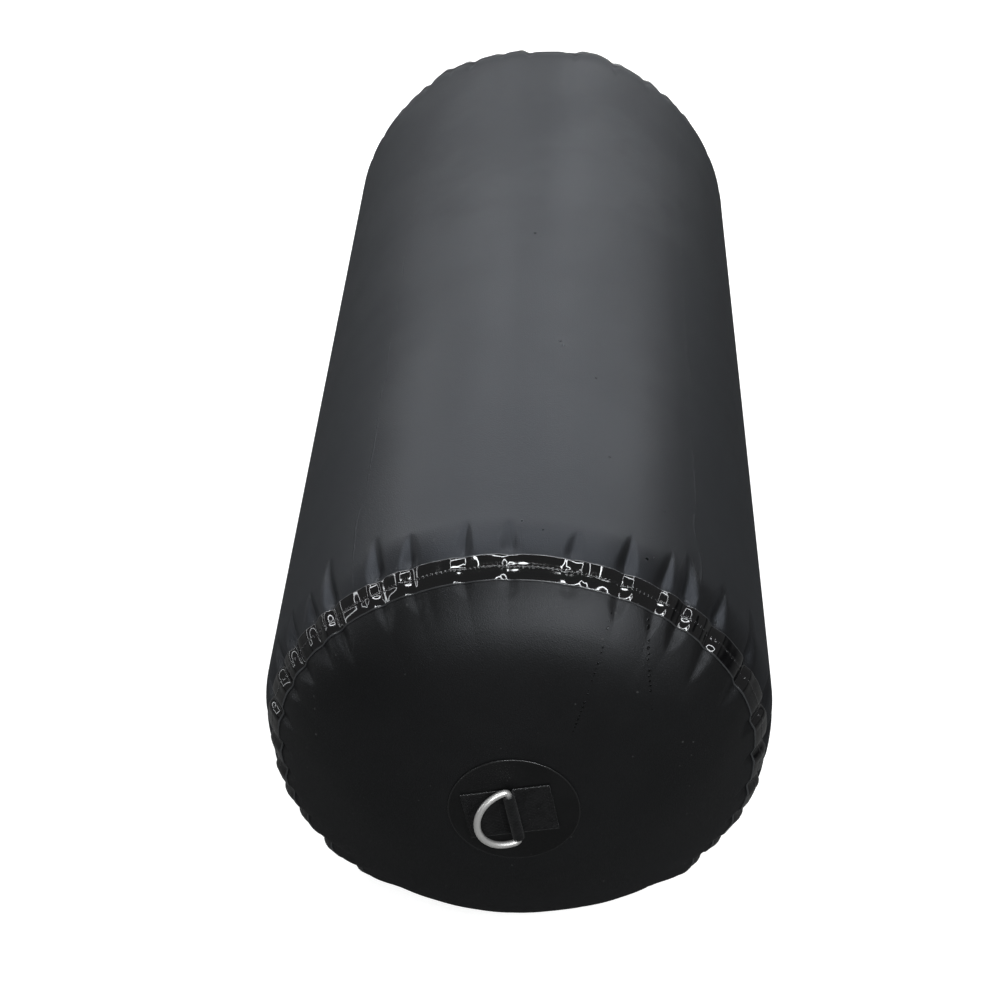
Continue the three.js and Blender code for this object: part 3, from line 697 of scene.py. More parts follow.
def coated_fabric(name, rgb, specular=0.40, roughness=0.40, tint=(0.82, 0.88, 1.0),
                  creases=(), spots=(), trails=()):
    """Calendered vinyl on a woven scrim, satin, with packing creases that run along it, single
    dried spots (place, radius) and trails of drips (start, end, largest radius)."""
    made, s, surface = new_material(name)
    uv, place = s.uv(), s.place()
    grain = s.grain(place, 0.0011, 0.07, 0.35)
    scrim = s.group(scrim_group(), {"Vector": uv, "Thread spacing": 0.0015})["Height"]
    dust = s.dust(place, 0.0012, 0.55)
    normal = s.bump(scrim, 0.00003, normal=s.bump(grain["Height"], 0.00032))
    base = s.uneven(grain["Cloud"], rgb, 0.88, 1.14)
    crease_mask = drips = None
    apart = s.apart(uv)
    for where, width in creases:
        wobble = s.range(s.noise(uv, 9.0, 2.0), 0.3, 0.7, -0.004, 0.004, smooth=False)
        away = s.math("ABSOLUTE", s.math("SUBTRACT", s.math("ADD", apart["X"], wobble), where))
        broken = s.range(s.noise(uv, 30.0, 3.0, 0.7), 0.42, 0.62)
        line = s.math("MULTIPLY", s.range(away, 0.0, width, 1.0, 0.0), broken)
        crease_mask = s.most(crease_mask, line)
    if crease_mask is not None:
        normal = s.bump(crease_mask, 0.0003, normal=normal)
        base = s.blend(s.math("MULTIPLY", crease_mask, 0.5), base, times(rgb, 2.6))
    base = s.blend(dust, base, DUST_COLOUR)
    rough = s.range(grain["Cloud"], 0.0, 1.0, roughness - 0.03, roughness + 0.03)
    rough = s.math("ADD", rough, s.math("MULTIPLY", dust, 0.3))
    ragged = s.range(s.noise(place, 700.0, 2.0), 0.2, 0.8, -0.0006, 0.0006, smooth=False)
    for where, radius in spots:
        away = s.math("ADD", s.vector("DISTANCE", place, where), ragged)
        drips = s.most(drips, s.range(away, radius - 0.0004, radius, 1.0, 0.0))
    flat = s.vector("MULTIPLY", place, (1, 0, 1))
    for start, end, radius in trails:
        dots = s.group(trail_group(), {
            "Vector": flat, "Start": (start[0], 0, start[1]), "End": (end[0], 0, end[1]),
            "Dot radius": radius})["Mask"]
        drips = s.most(drips, dots)
    if drips is not None:
        base = s.blend(drips, base, times(rgb, 0.15))
        rough = s.math("MULTIPLY", rough, s.range(drips, 0.0, 1.0, 1.0, 0.45))
        normal = s.bump(drips, 0.0004, normal=normal)
    rough = s.math("ADD", rough, s.glancing(0.40, 0.72, 0.28))
    set_surface(s, surface, colour=base, roughness=rough, normal=normal, specular=specular,
                tint=tint)
    return made


def tape_film(name, rgb, seam):
    """Patent-glossy film, with the dotted line of its hot weld along the middle and a duller
    squeezed-out edge along each side, both painted lighter as highlights."""
    made, s, surface = new_material(name)
    apart = s.apart(s.uv())
    grain = s.grain(s.place(), 0.004, 0.018, 0.9)
    middle = s.math("ABSOLUTE", s.math("SUBTRACT", apart["Y"], seam))
    line = s.range(middle, 0.0004, 0.0013, 1.0, 0.0)
    dots = s.math("SINE", s.math("MULTIPLY", apart["X"], math.tau / WELD_PITCH))
    weld = s.math("MULTIPLY", line, s.range(dots, -0.2, 0.7))
    normal = s.bump(weld, 0.0003, normal=s.bump(grain["Height"], 0.00012))
    # Painted highlight: each edge is made a lighter grey
    edge = s.range(middle, 0.0109, 0.0119)
    base = s.blend(edge, rgb, (0.030, 0.031, 0.033))
    # Painted highlight: the weld line is made lighter
    base = s.blend(s.math("MULTIPLY", line, 0.3), base, times(rgb, 5.0))
    rough = s.math("ADD", s.range(grain["Cloud"], 0.0, 1.0, 0.045, 0.075),
                   s.math("MULTIPLY", edge, 0.28))
    set_surface(s, surface, colour=base, roughness=rough, normal=normal, specular=0.85)
    return made


def patch_fabric(name, rgb):
    """Smooth vinyl disc with a light grain, painted paler along its rim as a highlight."""
    made, s, surface = new_material(name)
    place = s.place()
    grain = s.grain(place, 0.0009, 0.03, 0.4)
    dust = s.dust(place, 0.0010, 0.7)
    rim = s.range(s.apart(s.uv())["Y"], 0.972, 0.984)
    base = s.uneven(grain["Cloud"], rgb, 0.85, 1.2)
    # Painted highlight: the colour is made paler along the rim
    base = s.blend(s.math("MULTIPLY", rim, 0.5), base, times(rgb, 1.6))
    base = s.blend(dust, base, DUST_COLOUR)
    rough = s.math("ADD", s.range(grain["Cloud"], 0.0, 1.0, 0.42, 0.52),
                   s.glancing(0.38, 0.66, 0.4))
    set_surface(s, surface, colour=base, roughness=rough, normal=s.bump(grain["Height"], 0.0002),
                specular=0.30, coat=s.math("MULTIPLY", rim, 0.8), coat_roughness=0.18)
    return made


def woven_yarn(name, rgb, sheen=0.08, selvedge=None):
    """Nylon yarn: matt, slightly uneven in shade, with fibres along it; its selvedge, a half
    width away from the middle, is melted to a smooth bead and painted lighter as a highlight."""
    made, s, surface = new_material(name)
    uv = s.uv()
    fibres = s.noise(s.vector("MULTIPLY", uv, (900.0, 5200.0, 1.0)), 1.0, 2.0, 0.6)
    shade = s.noise(s.place(), 160.0, 3.0, 0.6)
    base = s.uneven(s.range(shade, 0.35, 0.65), rgb, 0.7, 1.5)
    base = s.blend(s.range(fibres, 0.55, 0.8), base, times(rgb, 2.4))
    coat = 0.0
    if selvedge:
        across = s.math("ABSOLUTE", s.apart(uv)["Y"])
        coat = s.range(across, selvedge - 0.0011, selvedge - 0.0006)
        # Painted highlight: the selvedge bead is made lighter
        base = s.blend(coat, base, times(rgb, 3.0))
    set_surface(
        s, surface, colour=base, roughness=s.range(shade, 0.3, 0.7, 0.72, 0.88),
        normal=s.bump(fibres, 0.00006), specular=0.12, sheen=sheen, sheen_roughness=0.5,
        coat=coat, coat_roughness=0.22)
    return made


def brushed_steel(name, rgb):
    """Tumbled stainless wire, satin, with fine draw lines along it and a few dull spots."""
    made, s, surface = new_material(name)
    uv = s.uv()
    lines = s.noise(s.vector("MULTIPLY", uv, (60.0, 4200.0, 1.0)), 1.0, 2.0, 0.6)
    spots = s.noise(s.place(), 60.0, 4.0, 0.6)
    fine = s.noise(s.place(), 900.0, 2.0, 0.5)
    base = s.uneven(s.range(spots, 0.42, 0.70), rgb, 1.12, 0.90)
    rough = s.math("ADD", s.range(spots, 0.35, 0.7, 0.34, 0.42),
                   s.range(lines, 0.3, 0.7, -0.02, 0.03, smooth=False))
    normal = s.bump(fine, 0.000008, normal=s.bump(lines, 0.000012))
    set_surface(s, surface, colour=base, roughness=rough, metallic=0.75, normal=normal)
    return made


def moulded_plastic(name, rgb, roughness=0.42, grain_size=0.0007):
    """Injection-moulded plastic with a fine spark-eroded grain."""
    made, s, surface = new_material(name)
    place = s.place()
    grain = s.grain(place, grain_size, 0.02, 0.25)
    dust = s.dust(place, 0.0007, 0.6)
    base = s.blend(dust, s.uneven(grain["Cloud"], rgb, 0.85, 1.2), (0.07, 0.07, 0.068))
    rough = s.range(grain["Cloud"], 0.0, 1.0, roughness - 0.05, roughness + 0.07)
    set_surface(s, surface, colour=base, roughness=rough,
                normal=s.bump(grain["Height"], 0.00008), specular=0.4)
    return made


def spring_wire(name):
    """Bright drawn spring wire."""
    made, s, surface = new_material(name)
    spots = s.noise(s.place(), 900.0, 3.0, 0.6)
    base = s.blend(spots, (0.42, 0.42, 0.43), (0.30, 0.30, 0.31))
    set_surface(s, surface, colour=base, roughness=s.range(spots, 0.3, 0.7, 0.18, 0.32),
                metallic=1.0, normal=s.bump(spots, 0.00002))
    return made


# Fittings: their own frame has x along the webbing with the ring lying towards -x, y out from
# the panel's flat face, and z along the ring's bar


def fitting_frame(side, sizes, chamber):
    tilt, rise = sizes.strap_tilt, sizes.patch_rise
    lean = sizes.near_lean if side == NEAR else 0.0
    out = Vector((0, -math.cos(lean), math.sin(lean)))
    up = Vector((0, math.sin(lean), math.cos(lean)))
    along = Vector((math.cos(tilt), 0, 0)) + up * math.sin(tilt)
    bar = along.cross(out)
    turn = Matrix((along, out, bar)).transposed().to_4x4()
    seat = Vector((0, -chamber.half_straight - chamber.flat_y + math.tan(lean) * rise,
                   chamber.axis_height + rise))
    near = Matrix.Translation(seat) @ turn
    return near if side == NEAR else Matrix.Rotation(math.pi, 4, "Z") @ near


def moved(points, matrix):
    rows = np.asarray(points, float).reshape(-1, 3)
    turn = np.array(matrix.to_3x3())
    return rows @ turn.T + np.array(matrix.translation)


LONG_TAB = 0.042
SHORT_TAB = 0.035
LOOP_FILLET = 0.0016
LOOP_SLACK = 0.0045  # height that the loop holds the bar above the webbing's foot
RING_CORNER = 0.0037
RING_SIDE = 0.004
RING_REST = math.radians(20)
STITCH_PITCH = 0.0032
THREAD_RADIUS = 0.00034


def fitting_height(sizes):
    """Height of the webbing's under face on the patch, and of the ring's bar in its loop."""
    foot = TOUCH + PATCH_THICKNESS + TOUCH
    return foot, foot + sizes.wire_radius + LOOP_SLACK


def arc(x, y, radius, start, stop, steps):
    angles = np.linspace(start, stop, steps)
    return [(x + radius * math.cos(a), y + radius * math.sin(a)) for a in angles]


def strap_path(sizes, raise_by):
    """Points on the webbing's line, seen from its edge, a distance above its under face."""
    foot, bar = fitting_height(sizes)
    top = foot + sizes.strap_thickness
    over = sizes.wire_radius + TOUCH + raise_by
    fillet = LOOP_FILLET + sizes.strap_thickness - raise_by
    outer = sizes.wire_radius + TOUCH + sizes.strap_thickness
    rise = bar - (top + LOOP_FILLET)
    apart = math.sqrt((outer + LOOP_FILLET) ** 2 - rise**2)
    lean = math.asin(rise / (outer + LOOP_FILLET))
    level = foot + raise_by
    points = [(x, level) for x in np.linspace(-LONG_TAB, -apart, 60, endpoint=False)]
    points += arc(-apart, top + LOOP_FILLET, fillet, -math.pi / 2, lean, 10)[:-1]
    points += arc(0, bar, over, math.pi + lean, -lean, 26)
    points += arc(apart, top + LOOP_FILLET, fillet, math.pi - lean, 1.5 * math.pi, 10)[1:]
    points += [(x, level) for x in np.linspace(apart, SHORT_TAB, 51)[1:]]
    return np.array(points)


def resampled(points, step):
    gaps = np.hypot(*np.diff(points, axis=0).T)
    travel = np.concatenate([[0], np.cumsum(gaps)])
    count = max(2, int(round(travel[-1] / step)) + 1)
    at = np.linspace(0, travel[-1], count)
    return np.stack([np.interp(at, travel, points[:, k]) for k in (0, 1)], axis=1), at


def sides_of(points):
    """Unit normals of a planar line, on its left-hand side."""
    tangent = np.gradient(points, axis=0)
    tangent /= np.linalg.norm(tangent, axis=1, keepdims=True)
    return np.stack([-tangent[:, 1], tangent[:, 0]], axis=1)


def strap_mesh(name, sizes, frame_matrix):
    """Webbing as a closed band whose faces carry its weave: thick warp yarns side by side, each
    passing over and under the weft."""
    half = sizes.strap_thickness / 2
    line, travel = resampled(strap_path(sizes, half), 0.00045)
    normal = sides_of(line)
    width = np.linspace(-sizes.strap_width / 2, sizes.strap_width / 2, 113)
    yarn = 0.00178
    weft = 0.0027
    rib = np.abs(np.cos(math.pi * width / yarn))
    odd = np.floor(width / yarn + 0.5) % 2
    edge = 1 - np.clip((np.abs(width) - sizes.strap_width / 2 + 0.0012) / 0.0012, 0, 1) ** 2
    points = []
    rows = len(line)
    for face in (1, -1):
        for i in range(rows):
            wave = np.cos(math.pi * (travel[i] / weft + odd))
            relief = 0.00016 * rib + 0.00013 * wave * rib - 0.00020
            height = (half + relief) * (0.35 + 0.65 * np.sqrt(np.clip(edge, 0, 1)))
            x = line[i, 0] + face * normal[i, 0] * height
            y = line[i, 1] + face * normal[i, 1] * height
            points.append(np.stack([x, y, width], axis=1))
    columns = len(width)
    faces, corners = [], []

    def quad(a, b, c, d):
        faces.append((a, b, c, d))
        for corner in (a, b, c, d):
            i, j = divmod(corner, columns)
            corners.append((travel[i % rows], width[j]))

    for face in (0, 1):
        base = face * rows * columns
        for i in range(rows - 1):
            for j in range(columns - 1):
                a = base + i * columns + j
                square = (a, a + 1, a + 1 + columns, a + columns)
                quad(*(square if face else square[::-1]))
    back = rows * columns
    for i in range(rows - 1):
        for j in (0, columns - 1):
            a = i * columns + j
            square = (a, a + columns, a + columns + back, a + back)
            quad(*(square if j else square[::-1]))
    for j in range(columns - 1):
        for i in (0, rows - 1):
            a = i * columns + j
            square = (a, a + 1, a + 1 + back, a + back)
            quad(*(square[::-1] if i else square))
    obj = object_from(name, moved(np.concatenate(points), frame_matrix), faces, corners)
    face_out(obj)
    return obj


def tube(centres, radius, facets, closed=False):
    """Points and faces of a round bar along a line of centres, with uvs of travel and turn."""
    centres = np.asarray(centres, float)
    count = len(centres)
    if closed:
        tangent = np.roll(centres, -1, axis=0) - np.roll(centres, 1, axis=0)
    else:
        tangent = np.gradient(centres, axis=0)
    tangent /= np.linalg.norm(tangent, axis=1, keepdims=True)
    across = np.cross((0, 1, 0), tangent)
    across /= np.linalg.norm(across, axis=1, keepdims=True)
    lift = np.cross(tangent, across)
    radii = np.broadcast_to(np.asarray(radius, float), (count,))
    turn = np.linspace(0, math.tau, facets, endpoint=False)
    rings = (centres[:, None] + radii[:, None, None] * (
        across[:, None] * np.cos(turn)[:, None] + lift[:, None] * np.sin(turn)[:, None]))
    travel = np.concatenate([[0], np.cumsum(np.linalg.norm(np.diff(centres, axis=0), axis=1))])
    faces, corners = [], []
    for i in range(count if closed else count - 1):
        j = (i + 1) % count
        for a in range(facets):
            b = (a + 1) % facets
            faces.append((i * facets + a, i * facets + b, j * facets + b, j * facets + a))
            end = travel[j] if j else travel[-1] + 0.001
            wrap = (a + 1) / facets
            corners += [(travel[i], a / facets), (travel[i], wrap), (end, wrap), (end, a / facets)]
    points = rings.reshape(-1, 3)
    if not closed:
        tips = [centres[0] - tangent[0] * radii[0] * 0.5, centres[-1] + tangent[-1] * radii[-1] * 0.5]
        points = np.concatenate([points, tips])
        first, last = len(points) - 2, len(points) - 1
        for a in range(facets):
            b = (a + 1) % facets
            faces.append((b, a, first))
            faces.append(((count - 1) * facets + a, (count - 1) * facets + b, last))
            corners += [(0, 0)] * 3 + [(travel[-1], 0)] * 3
    return points, faces, corners


def gathered(parts):
    """Joins several lists of points, faces and corners into one."""
    points, faces, corners, start = [], [], [], 0
    for own, own_faces, own_corners in parts:
        points.append(own)
        faces += [tuple(start + i for i in face) for face in own_faces]
        corners += own_corners
        start += len(own)
    return np.concatenate(points), faces, corners


def stitch_row(start, stop, top, chance):
    """Lock stitches between two places on a tab, each a short thread that dips at its ends."""
    start, stop = np.array(start, float), np.array(stop, float)
    span = np.linalg.norm(stop - start)
    count = max(2, int(round(span / STITCH_PITCH)))
    parts = []
    for i in range(count):
        low = start + (stop - start) * (i + 0.10) / count
        high = start + (stop - start) * (i + 0.90) / count
        share = np.linspace(0, 1, 7)
        middle = low[None] + (high - low)[None] * share[:, None]
        middle = middle + chance.normal(0, 0.00006, 2)[None]
        lift = top + 0.00030 * np.sin(math.pi * share) ** 0.6 - 0.00022
        centres = np.stack([middle[:, 0], lift, middle[:, 1]], axis=1)
        parts.append(tube(centres, THREAD_RADIUS, 8))
    return parts


def tab_stitching(sizes, low, high, top, chance):
    """A box with a cross in it, on one tab of the webbing."""
    half = sizes.strap_width / 2 - 0.0042
    parts = []
    corners = [(low, -half), (high, -half), (high, half), (low, half)]
    for a, b in ((0, 1), (1, 2), (2, 3), (3, 0), (0, 2), (1, 3)):
        parts += stitch_row(corners[a], corners[b], top, chance)
    return parts


def ring_centreline(sizes):
    bow = sizes.ring_inner_width / 2 + sizes.wire_radius
    corner = bow - RING_CORNER
    quarter = math.pi / 2
    points = arc(-RING_SIDE, 0, bow, quarter, 3 * quarter, 61)
    points += [(x, -bow) for x in np.linspace(-RING_SIDE, -RING_CORNER, 4)[1:-1]]
    points += arc(-RING_CORNER, -corner, RING_CORNER, 3 * quarter, 4 * quarter, 10)
    points += [(0, z) for z in np.linspace(-corner, corner, 41)[1:-1]]
    points += arc(-RING_CORNER, corner, RING_CORNER, 0, quarter, 10)
    points += [(x, bow) for x in np.linspace(-RING_CORNER, -RING_SIDE, 4)[1:-1]]
    return np.array([(x, 0, z) for x, z in points])


# Operators


def settings(context):
    """The sizes, the colours and the chamber that they make."""
    sizes = context.scene.fender_sizes
    return sizes, context.scene.fender_colours, Chamber(sizes)


class SleeveOperator(bpy.types.Operator):
    """Blow up the sleeve, with its puckers at both seams and its flat on the ground"""

    bl_idname = "fender.sleeve"
    bl_label = "Sleeve"

    def execute(self, context):
        sizes, colours, chamber = settings(context)
        low = chamber.seam - TOUCH / 2
        outer_arcs = spread(low, -END_ROWS, 0.0014, 0.0045)
        inner_arcs = np.array([low, 0.040, 0.026, 0.010, -0.010, -END_ROWS])
        middle = np.linspace(-1, 1, 27)[1:-1] * (chamber.half_straight - END_ROWS)
        chance = np.random.default_rng(SEED)
        waves = [(chance.uniform(2, 5), chance.uniform(3, 9), chance.uniform(0, 6.3, 2))
                 for i in range(5)]

        def straight(y, offset):
            lull = np.zeros(len(chamber.phase))
            for around, lengthwise, (a, b) in waves:
                turn = np.radians(chamber.angle[NEAR]) * round(around)
                lull += np.sin(turn + a) * np.sin(y * lengthwise + b)
            arcs, r, *rest = chamber.rows_on_crown([-END_ROWS])
            rows = (arcs, r + LULL_HEIGHT * lull.mean(), *rest)
            loop = chamber.points(FAR, rows, offset)[0]
            share = np.clip((y + chamber.half_straight) / (2 * chamber.half_straight), 0, 1)
            other = chamber.points(NEAR, rows, offset)[0]
            loop = loop * share + other * (1 - share)
            loop[:, 1] = y
            return loop

        def face(offset, arcs, rows_between):
            near = chamber.points(NEAR, chamber.rows_on_crown(arcs), offset)
            far = chamber.points(FAR, chamber.rows_on_crown(arcs), offset)
            loops = list(near) + [straight(y, offset) for y in rows_between] + list(far[::-1])
            along = np.concatenate([arcs, -chamber.half_straight - np.asarray(rows_between),
                                    -2 * chamber.half_straight - arcs[::-1]])
            return loops, along

        outer, outer_along = face(0.0, outer_arcs, middle)
        inner, inner_along = face(-sizes.fabric, inner_arcs, middle[2::8])
        obj = closed_skin("sleeve_skin", outer + inner[::-1], chamber.around(),
                          np.concatenate([outer_along, inner_along[::-1]]))
        radius = sizes.body_radius
        creases = [(math.radians(angle) * radius, width) for angle, width in CREASES]
        paint(obj, coated_fabric("Coated fabric sleeve", colours.fabric, creases=creases,
                                 spots=SLEEVE_SPOTS))
        finish_piece(obj, BODY, "coated_fabric", "sleeve")
        return {"FINISHED"}


class EndPanelOperator(bpy.types.Operator):
    """Blow up the two round end panels, gathered at their rims and flat under their patches"""

    bl_idname = "fender.end_panels"
    bl_label = "End panels"

    def execute(self, context):
        sizes, colours, chamber = settings(context)
        skins = {
            side: coated_fabric(
                f"Coated fabric {END_NAMES[side]} end", colours.fabric, specular=0.37,
                tint=(0.93, 0.955, 1.0), trails=END_TRAILS if side == NEAR else ())
            for side in (NEAR, FAR)}
        rim = chamber.seam + TOUCH / 2
        edge = chamber.seam + sizes.pucker_on_panel
        arcs = spread(rim, edge, 0.0014, 0.0030)
        edge_radius = chamber.rows_on_crown([edge])[1][0]
        radii = np.concatenate([
            np.linspace(edge_radius, CROWN_EDGE, 12)[1:],
            np.linspace(CROWN_EDGE, FLAT_EDGE, 8)[1:], [0.050, 0.032, 0.014]])
        few = np.array([rim, rim + 0.014, rim + 0.034, edge])
        few_radii = np.array([CROWN_EDGE, 0.078, FLAT_EDGE, 0.030])
        for side in (NEAR, FAR):
            name = END_NAMES[side]

            def face(offset, some_arcs, some_radii):
                loops = list(chamber.points(side, chamber.rows_on_crown(some_arcs), offset))
                rows = chamber.rows_by_radius(some_radii)
                loops += list(chamber.points(side, rows, offset))
                reach = chamber.half_straight + chamber.flat_y + offset
                tip = (0, side * reach, chamber.axis_height)
                return loops, np.concatenate([some_arcs, rows[0]]), tip

            outer, outer_along, outer_tip = face(0.0, arcs, radii)
            inner, inner_along, inner_tip = face(-sizes.fabric, few, few_radii)
            obj = closed_skin(
                f"{name}_end_skin", outer[::-1] + inner, chamber.around(side),
                np.concatenate([outer_along[::-1], inner_along]), (outer_tip, inner_tip))
            if side == FAR:
                self.cut_valve_hole(obj, chamber)
            paint(obj, skins[side])
            finish_piece(obj, BODY, "coated_fabric", f"{name}_end_panel")
        return {"FINISHED"}

    def cut_valve_hole(self, obj, chamber):
        """Opens the far panel where the valve's barrel passes through it."""
        facets = 48
        round_it = arc(0, 0, VALVE_HOLE, 0, math.tau, facets + 1)[:-1]
        points = [(x, y, z) for y in (-0.02, 0.02) for x, z in round_it]
        faces = [tuple(range(facets)), tuple(range(2 * facets - 1, facets - 1, -1))]
        faces += [(i, (i + 1) % facets, facets + (i + 1) % facets, facets + i)
                  for i in range(facets)]
        cutter = object_from("valve_hole_cutter", moved(points, valve_frame(chamber)), faces)
        face_out(cutter)
        modifier = obj.modifiers.new("Valve hole", "BOOLEAN")
        modifier.object = cutter
        modifier.operation = "DIFFERENCE"
        modifier.solver = "EXACT"
        ready = obj.evaluated_get(bpy.context.evaluated_depsgraph_get())
        mesh = bpy.data.meshes.new_from_object(ready)
        obj.modifiers.clear()
        obj.data = mesh
        bpy.data.objects.remove(cutter)


class SeamTapeOperator(bpy.types.Operator):
    """Weld the glossy tape over both puckered seams"""

    bl_idname = "fender.seam_tapes"
    bl_label = "Seam tapes"

    def execute(self, context):
        sizes, colours, chamber = settings(context)
        made = tape_film("Glossy tape", colours.tape, chamber.seam)
        half = sizes.tape_width / 2
        across = np.concatenate([
            [-half, -half + 0.0003], np.linspace(-half + 0.0010, half - 0.0010, 31),
            [half - 0.0003, half]])
        top = sizes.tape_thickness
        profile = np.full(len(across), top)
        profile[[0, -1]] = 0.35 * top
        profile[[1, -2]] = 0.85 * top
        profile += TAPE_HUMP * np.sin(math.pi * np.abs(across) / half) ** 2
        profile += WELD_BEAD * np.exp(-((across / 0.0009) ** 2))
        under = np.array([-half, -half * 0.5, 0, half * 0.5, half])
        over = 1 - 0.75 * (np.abs(across) / half) ** 3
        for side in (NEAR, FAR):
            name = END_NAMES[side]
            relief = profile[:, None] + over[:, None] * chamber.bunches(side)[None, :]
            outer = chamber.points(
                side, chamber.rows_on_crown(chamber.seam + across), TOUCH, relief)
            inner = chamber.points(
                side, chamber.rows_on_crown(chamber.seam + under[::-1]), TOUCH)
            obj = closed_skin(
                f"{name}_seam_tape_film", list(outer) + list(inner), chamber.around(side),
                chamber.seam + np.concatenate([across, under[::-1]]))
            paint(obj, made)
            finish_piece(obj, BODY, "tape_film", f"{name}_seam_tape")
        return {"FINISHED"}


class RingPatchOperator(bpy.types.Operator):
    """Weld a round patch to the middle of each end, with a rolled rim"""

    bl_idname = "fender.ring_patches"
    bl_label = "Ring patches"

    def execute(self, context):
        sizes, colours, chamber = settings(context)
        made = patch_fabric("Patch vinyl", colours.patch)
        chance = np.random.default_rng(PATCH_SEED)
        turn = np.linspace(0, math.tau, 240, endpoint=False)
        radius = sizes.patch_radius
        phases = chance.uniform(0, math.tau, 5)
        sag = sum(np.sin(turn * (k + 2) + phases[k]) for k in range(5)) / 5
        for side in (NEAR, FAR):
            matrix = fitting_frame(side, sizes, chamber)
            top = TOUCH + PATCH_THICKNESS
            outline = [(0.15, top), (0.4, top), (0.62, top), (0.8, top), (0.9, top), (0.955, top),
                       (0.972, top + 0.00002), (0.981, top + 0.00022), (0.989, top + 0.00024),
                       (0.996, top - 0.00005), (1.0, top - 0.0006),
                       (0.997, TOUCH), (0.5, TOUCH), (0.15, TOUCH)]
            loops = []
            for share, height in outline:
                r = radius * share * (1 + 0.0025 * sag * share**6)
                lift = 0.00018 * np.sin(turn * 3 + 1) * share**2 * (1 if height > TOUCH else 0)
                loops.append(moved(np.stack(
                    [r * np.cos(turn), height + np.minimum(lift, 0.0001), r * np.sin(turn)],
                    axis=1), matrix))
            tips = (moved([(0, top, 0)], matrix)[0], moved([(0, TOUCH, 0)], matrix)[0])
            name = END_NAMES[side]
            obj = closed_skin(
                f"{name}_patch_disc", loops, turn * radius,
                np.array([share for share, height in outline]), tips)
            paint(obj, made)
            finish_piece(obj, BODY, "patch_fabric", f"{name}_ring_patch")
        return {"FINISHED"}


class RingStrapOperator(bpy.types.Operator):
    """Sew the webbing loop over each ring's bar, with a stitched box on both tabs"""

    bl_idname = "fender.ring_straps"
    bl_label = "Ring straps"

    def execute(self, context):
        sizes, colours, chamber = settings(context)
        yarn = woven_yarn("Webbing yarn", colours.webbing, selvedge=sizes.strap_width / 2)
        thread = woven_yarn("Sewing thread", colours.thread, 0.05)
        top = fitting_height(sizes)[0] + sizes.strap_thickness
        for side in (NEAR, FAR):
            name = END_NAMES[side]
            matrix = fitting_frame(side, sizes, chamber)
            band = strap_mesh(f"{name}_strap_webbing", sizes, matrix)
            paint(band, yarn)
            finish_piece(band, BODY, "webbing", f"{name}_ring_strap")
            chance = np.random.default_rng(STITCH_SEED + side)
            parts = tab_stitching(sizes, -LONG_TAB + 0.004, -0.0115, top, chance)
            parts += tab_stitching(sizes, 0.0115, SHORT_TAB - 0.0035, top, chance)
            points, faces, corners = gathered(parts)
            stitches = object_from(f"{name}_strap_stitches", moved(points, matrix), faces, corners)
            paint(stitches, thread)
            finish_piece(stitches, BODY, "webbing")
        return {"FINISHED"}


class RingOperator(bpy.types.Operator):
    """Bend and weld the two D-rings"""

    bl_idname = "fender.rings"
    bl_label = "Rings"

    def execute(self, context):
        sizes, colours, chamber = settings(context)
        made = brushed_steel("Satin steel", colours.steel)
        centres = ring_centreline(sizes)
        # The bar's butt weld stands a little proud
        bar = np.exp(-((centres[:, 2] / 0.0016) ** 2)) * (centres[:, 0] > -0.001)
        radii = sizes.wire_radius * (1 + 0.03 * bar)
        points, faces, corners = tube(centres, radii, 28, closed=True)
        height = fitting_height(sizes)[1]
        lift = Matrix.Translation((0, height, 0)) @ Matrix.Rotation(-RING_REST, 4, "Z")
        for side in (NEAR, FAR):
            matrix = fitting_frame(side, sizes, chamber) @ lift
            name = END_NAMES[side]
            obj = object_from(f"{name}_ring_wire", moved(points, matrix), faces, corners)
            face_out(obj)
            paint(obj, made)
            finish_piece(obj, f"{name}_d_ring", "ring_steel", f"{name}_ring")
        return {"FINISHED"}


def valve_frame(chamber):
    """The valve's own frame, with y out along its axis and 0 at the panel's outer face."""
    _, table_r, table_y, table_lean = chamber.crown
    first = int(np.argmax(table_r <= VALVE_RISE))
    lean = table_lean[first]
    tilt = math.pi / 2 - math.atan2(math.sin(lean), END_FULLNESS * math.cos(lean))
    seat = Vector((0, chamber.half_straight + table_y[first], chamber.axis_height + table_r[first]))
    return Matrix.Translation(seat) @ Matrix.Rotation(tilt, 4, "X")


def valve_spring():
    """The spring under the push-button, which stands on the socket's floor, copied from its
    solid."""
    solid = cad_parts["valve_spring"]
    bpy.context.view_layer.update()
    points = [solid.matrix_world @ corner.co for corner in solid.data.vertices]
    faces = [tuple(face.vertices) for face in solid.data.polygons]
    coil = object_from("valve_spring_coil", points, faces)
    paint(coil, spring_wire("Spring wire"))
    coil.data.set_sharp_from_angle(angle=VALVE_SHARP)
    finish_piece(coil, BODY, "spring_steel", "valve_spring")
    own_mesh(coil)


class ValveOperator(bpy.types.Operator):
    """Finish the inflation valve in the far end"""

    bl_idname = "fender.valve"
    bl_label = "Valve"

    def execute(self, context):
        _, colours, chamber = settings(context)
        plastic = moulded_plastic("Valve plastic", colours.valve)
        nut = moulded_plastic("Nut plastic", colours.valve, 0.5, 0.001)
        button = moulded_plastic("Button plastic", colours.button, 0.38)
        rubber = moulded_plastic("Seal rubber", colours.rubber, 0.75, 0.0005)
        finishes = {
            "valve_body": plastic, "valve_cap": plastic, "valve_nut": nut,
            "valve_plunger": button, "valve_seal": rubber, "cap_seal": rubber,
        }
        for node, made in finishes.items():
            paint(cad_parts[node], made)
            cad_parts[node].data.set_sharp_from_angle(angle=VALVE_SHARP)
        valve_spring()
        return {"FINISHED"}


CAMERA_PLACE = (0.03003, -1.57242, 1.41171)
CAMERA_LOOK = (-0.031582, 0.772600, -0.634107)
CAMERA_LENS = 65.22
FLOOR_SIZE = 30.0
FLOOR_GLOW = 0.76
LAMP_BAR = 0.075  # width of the lit edges of a softbox
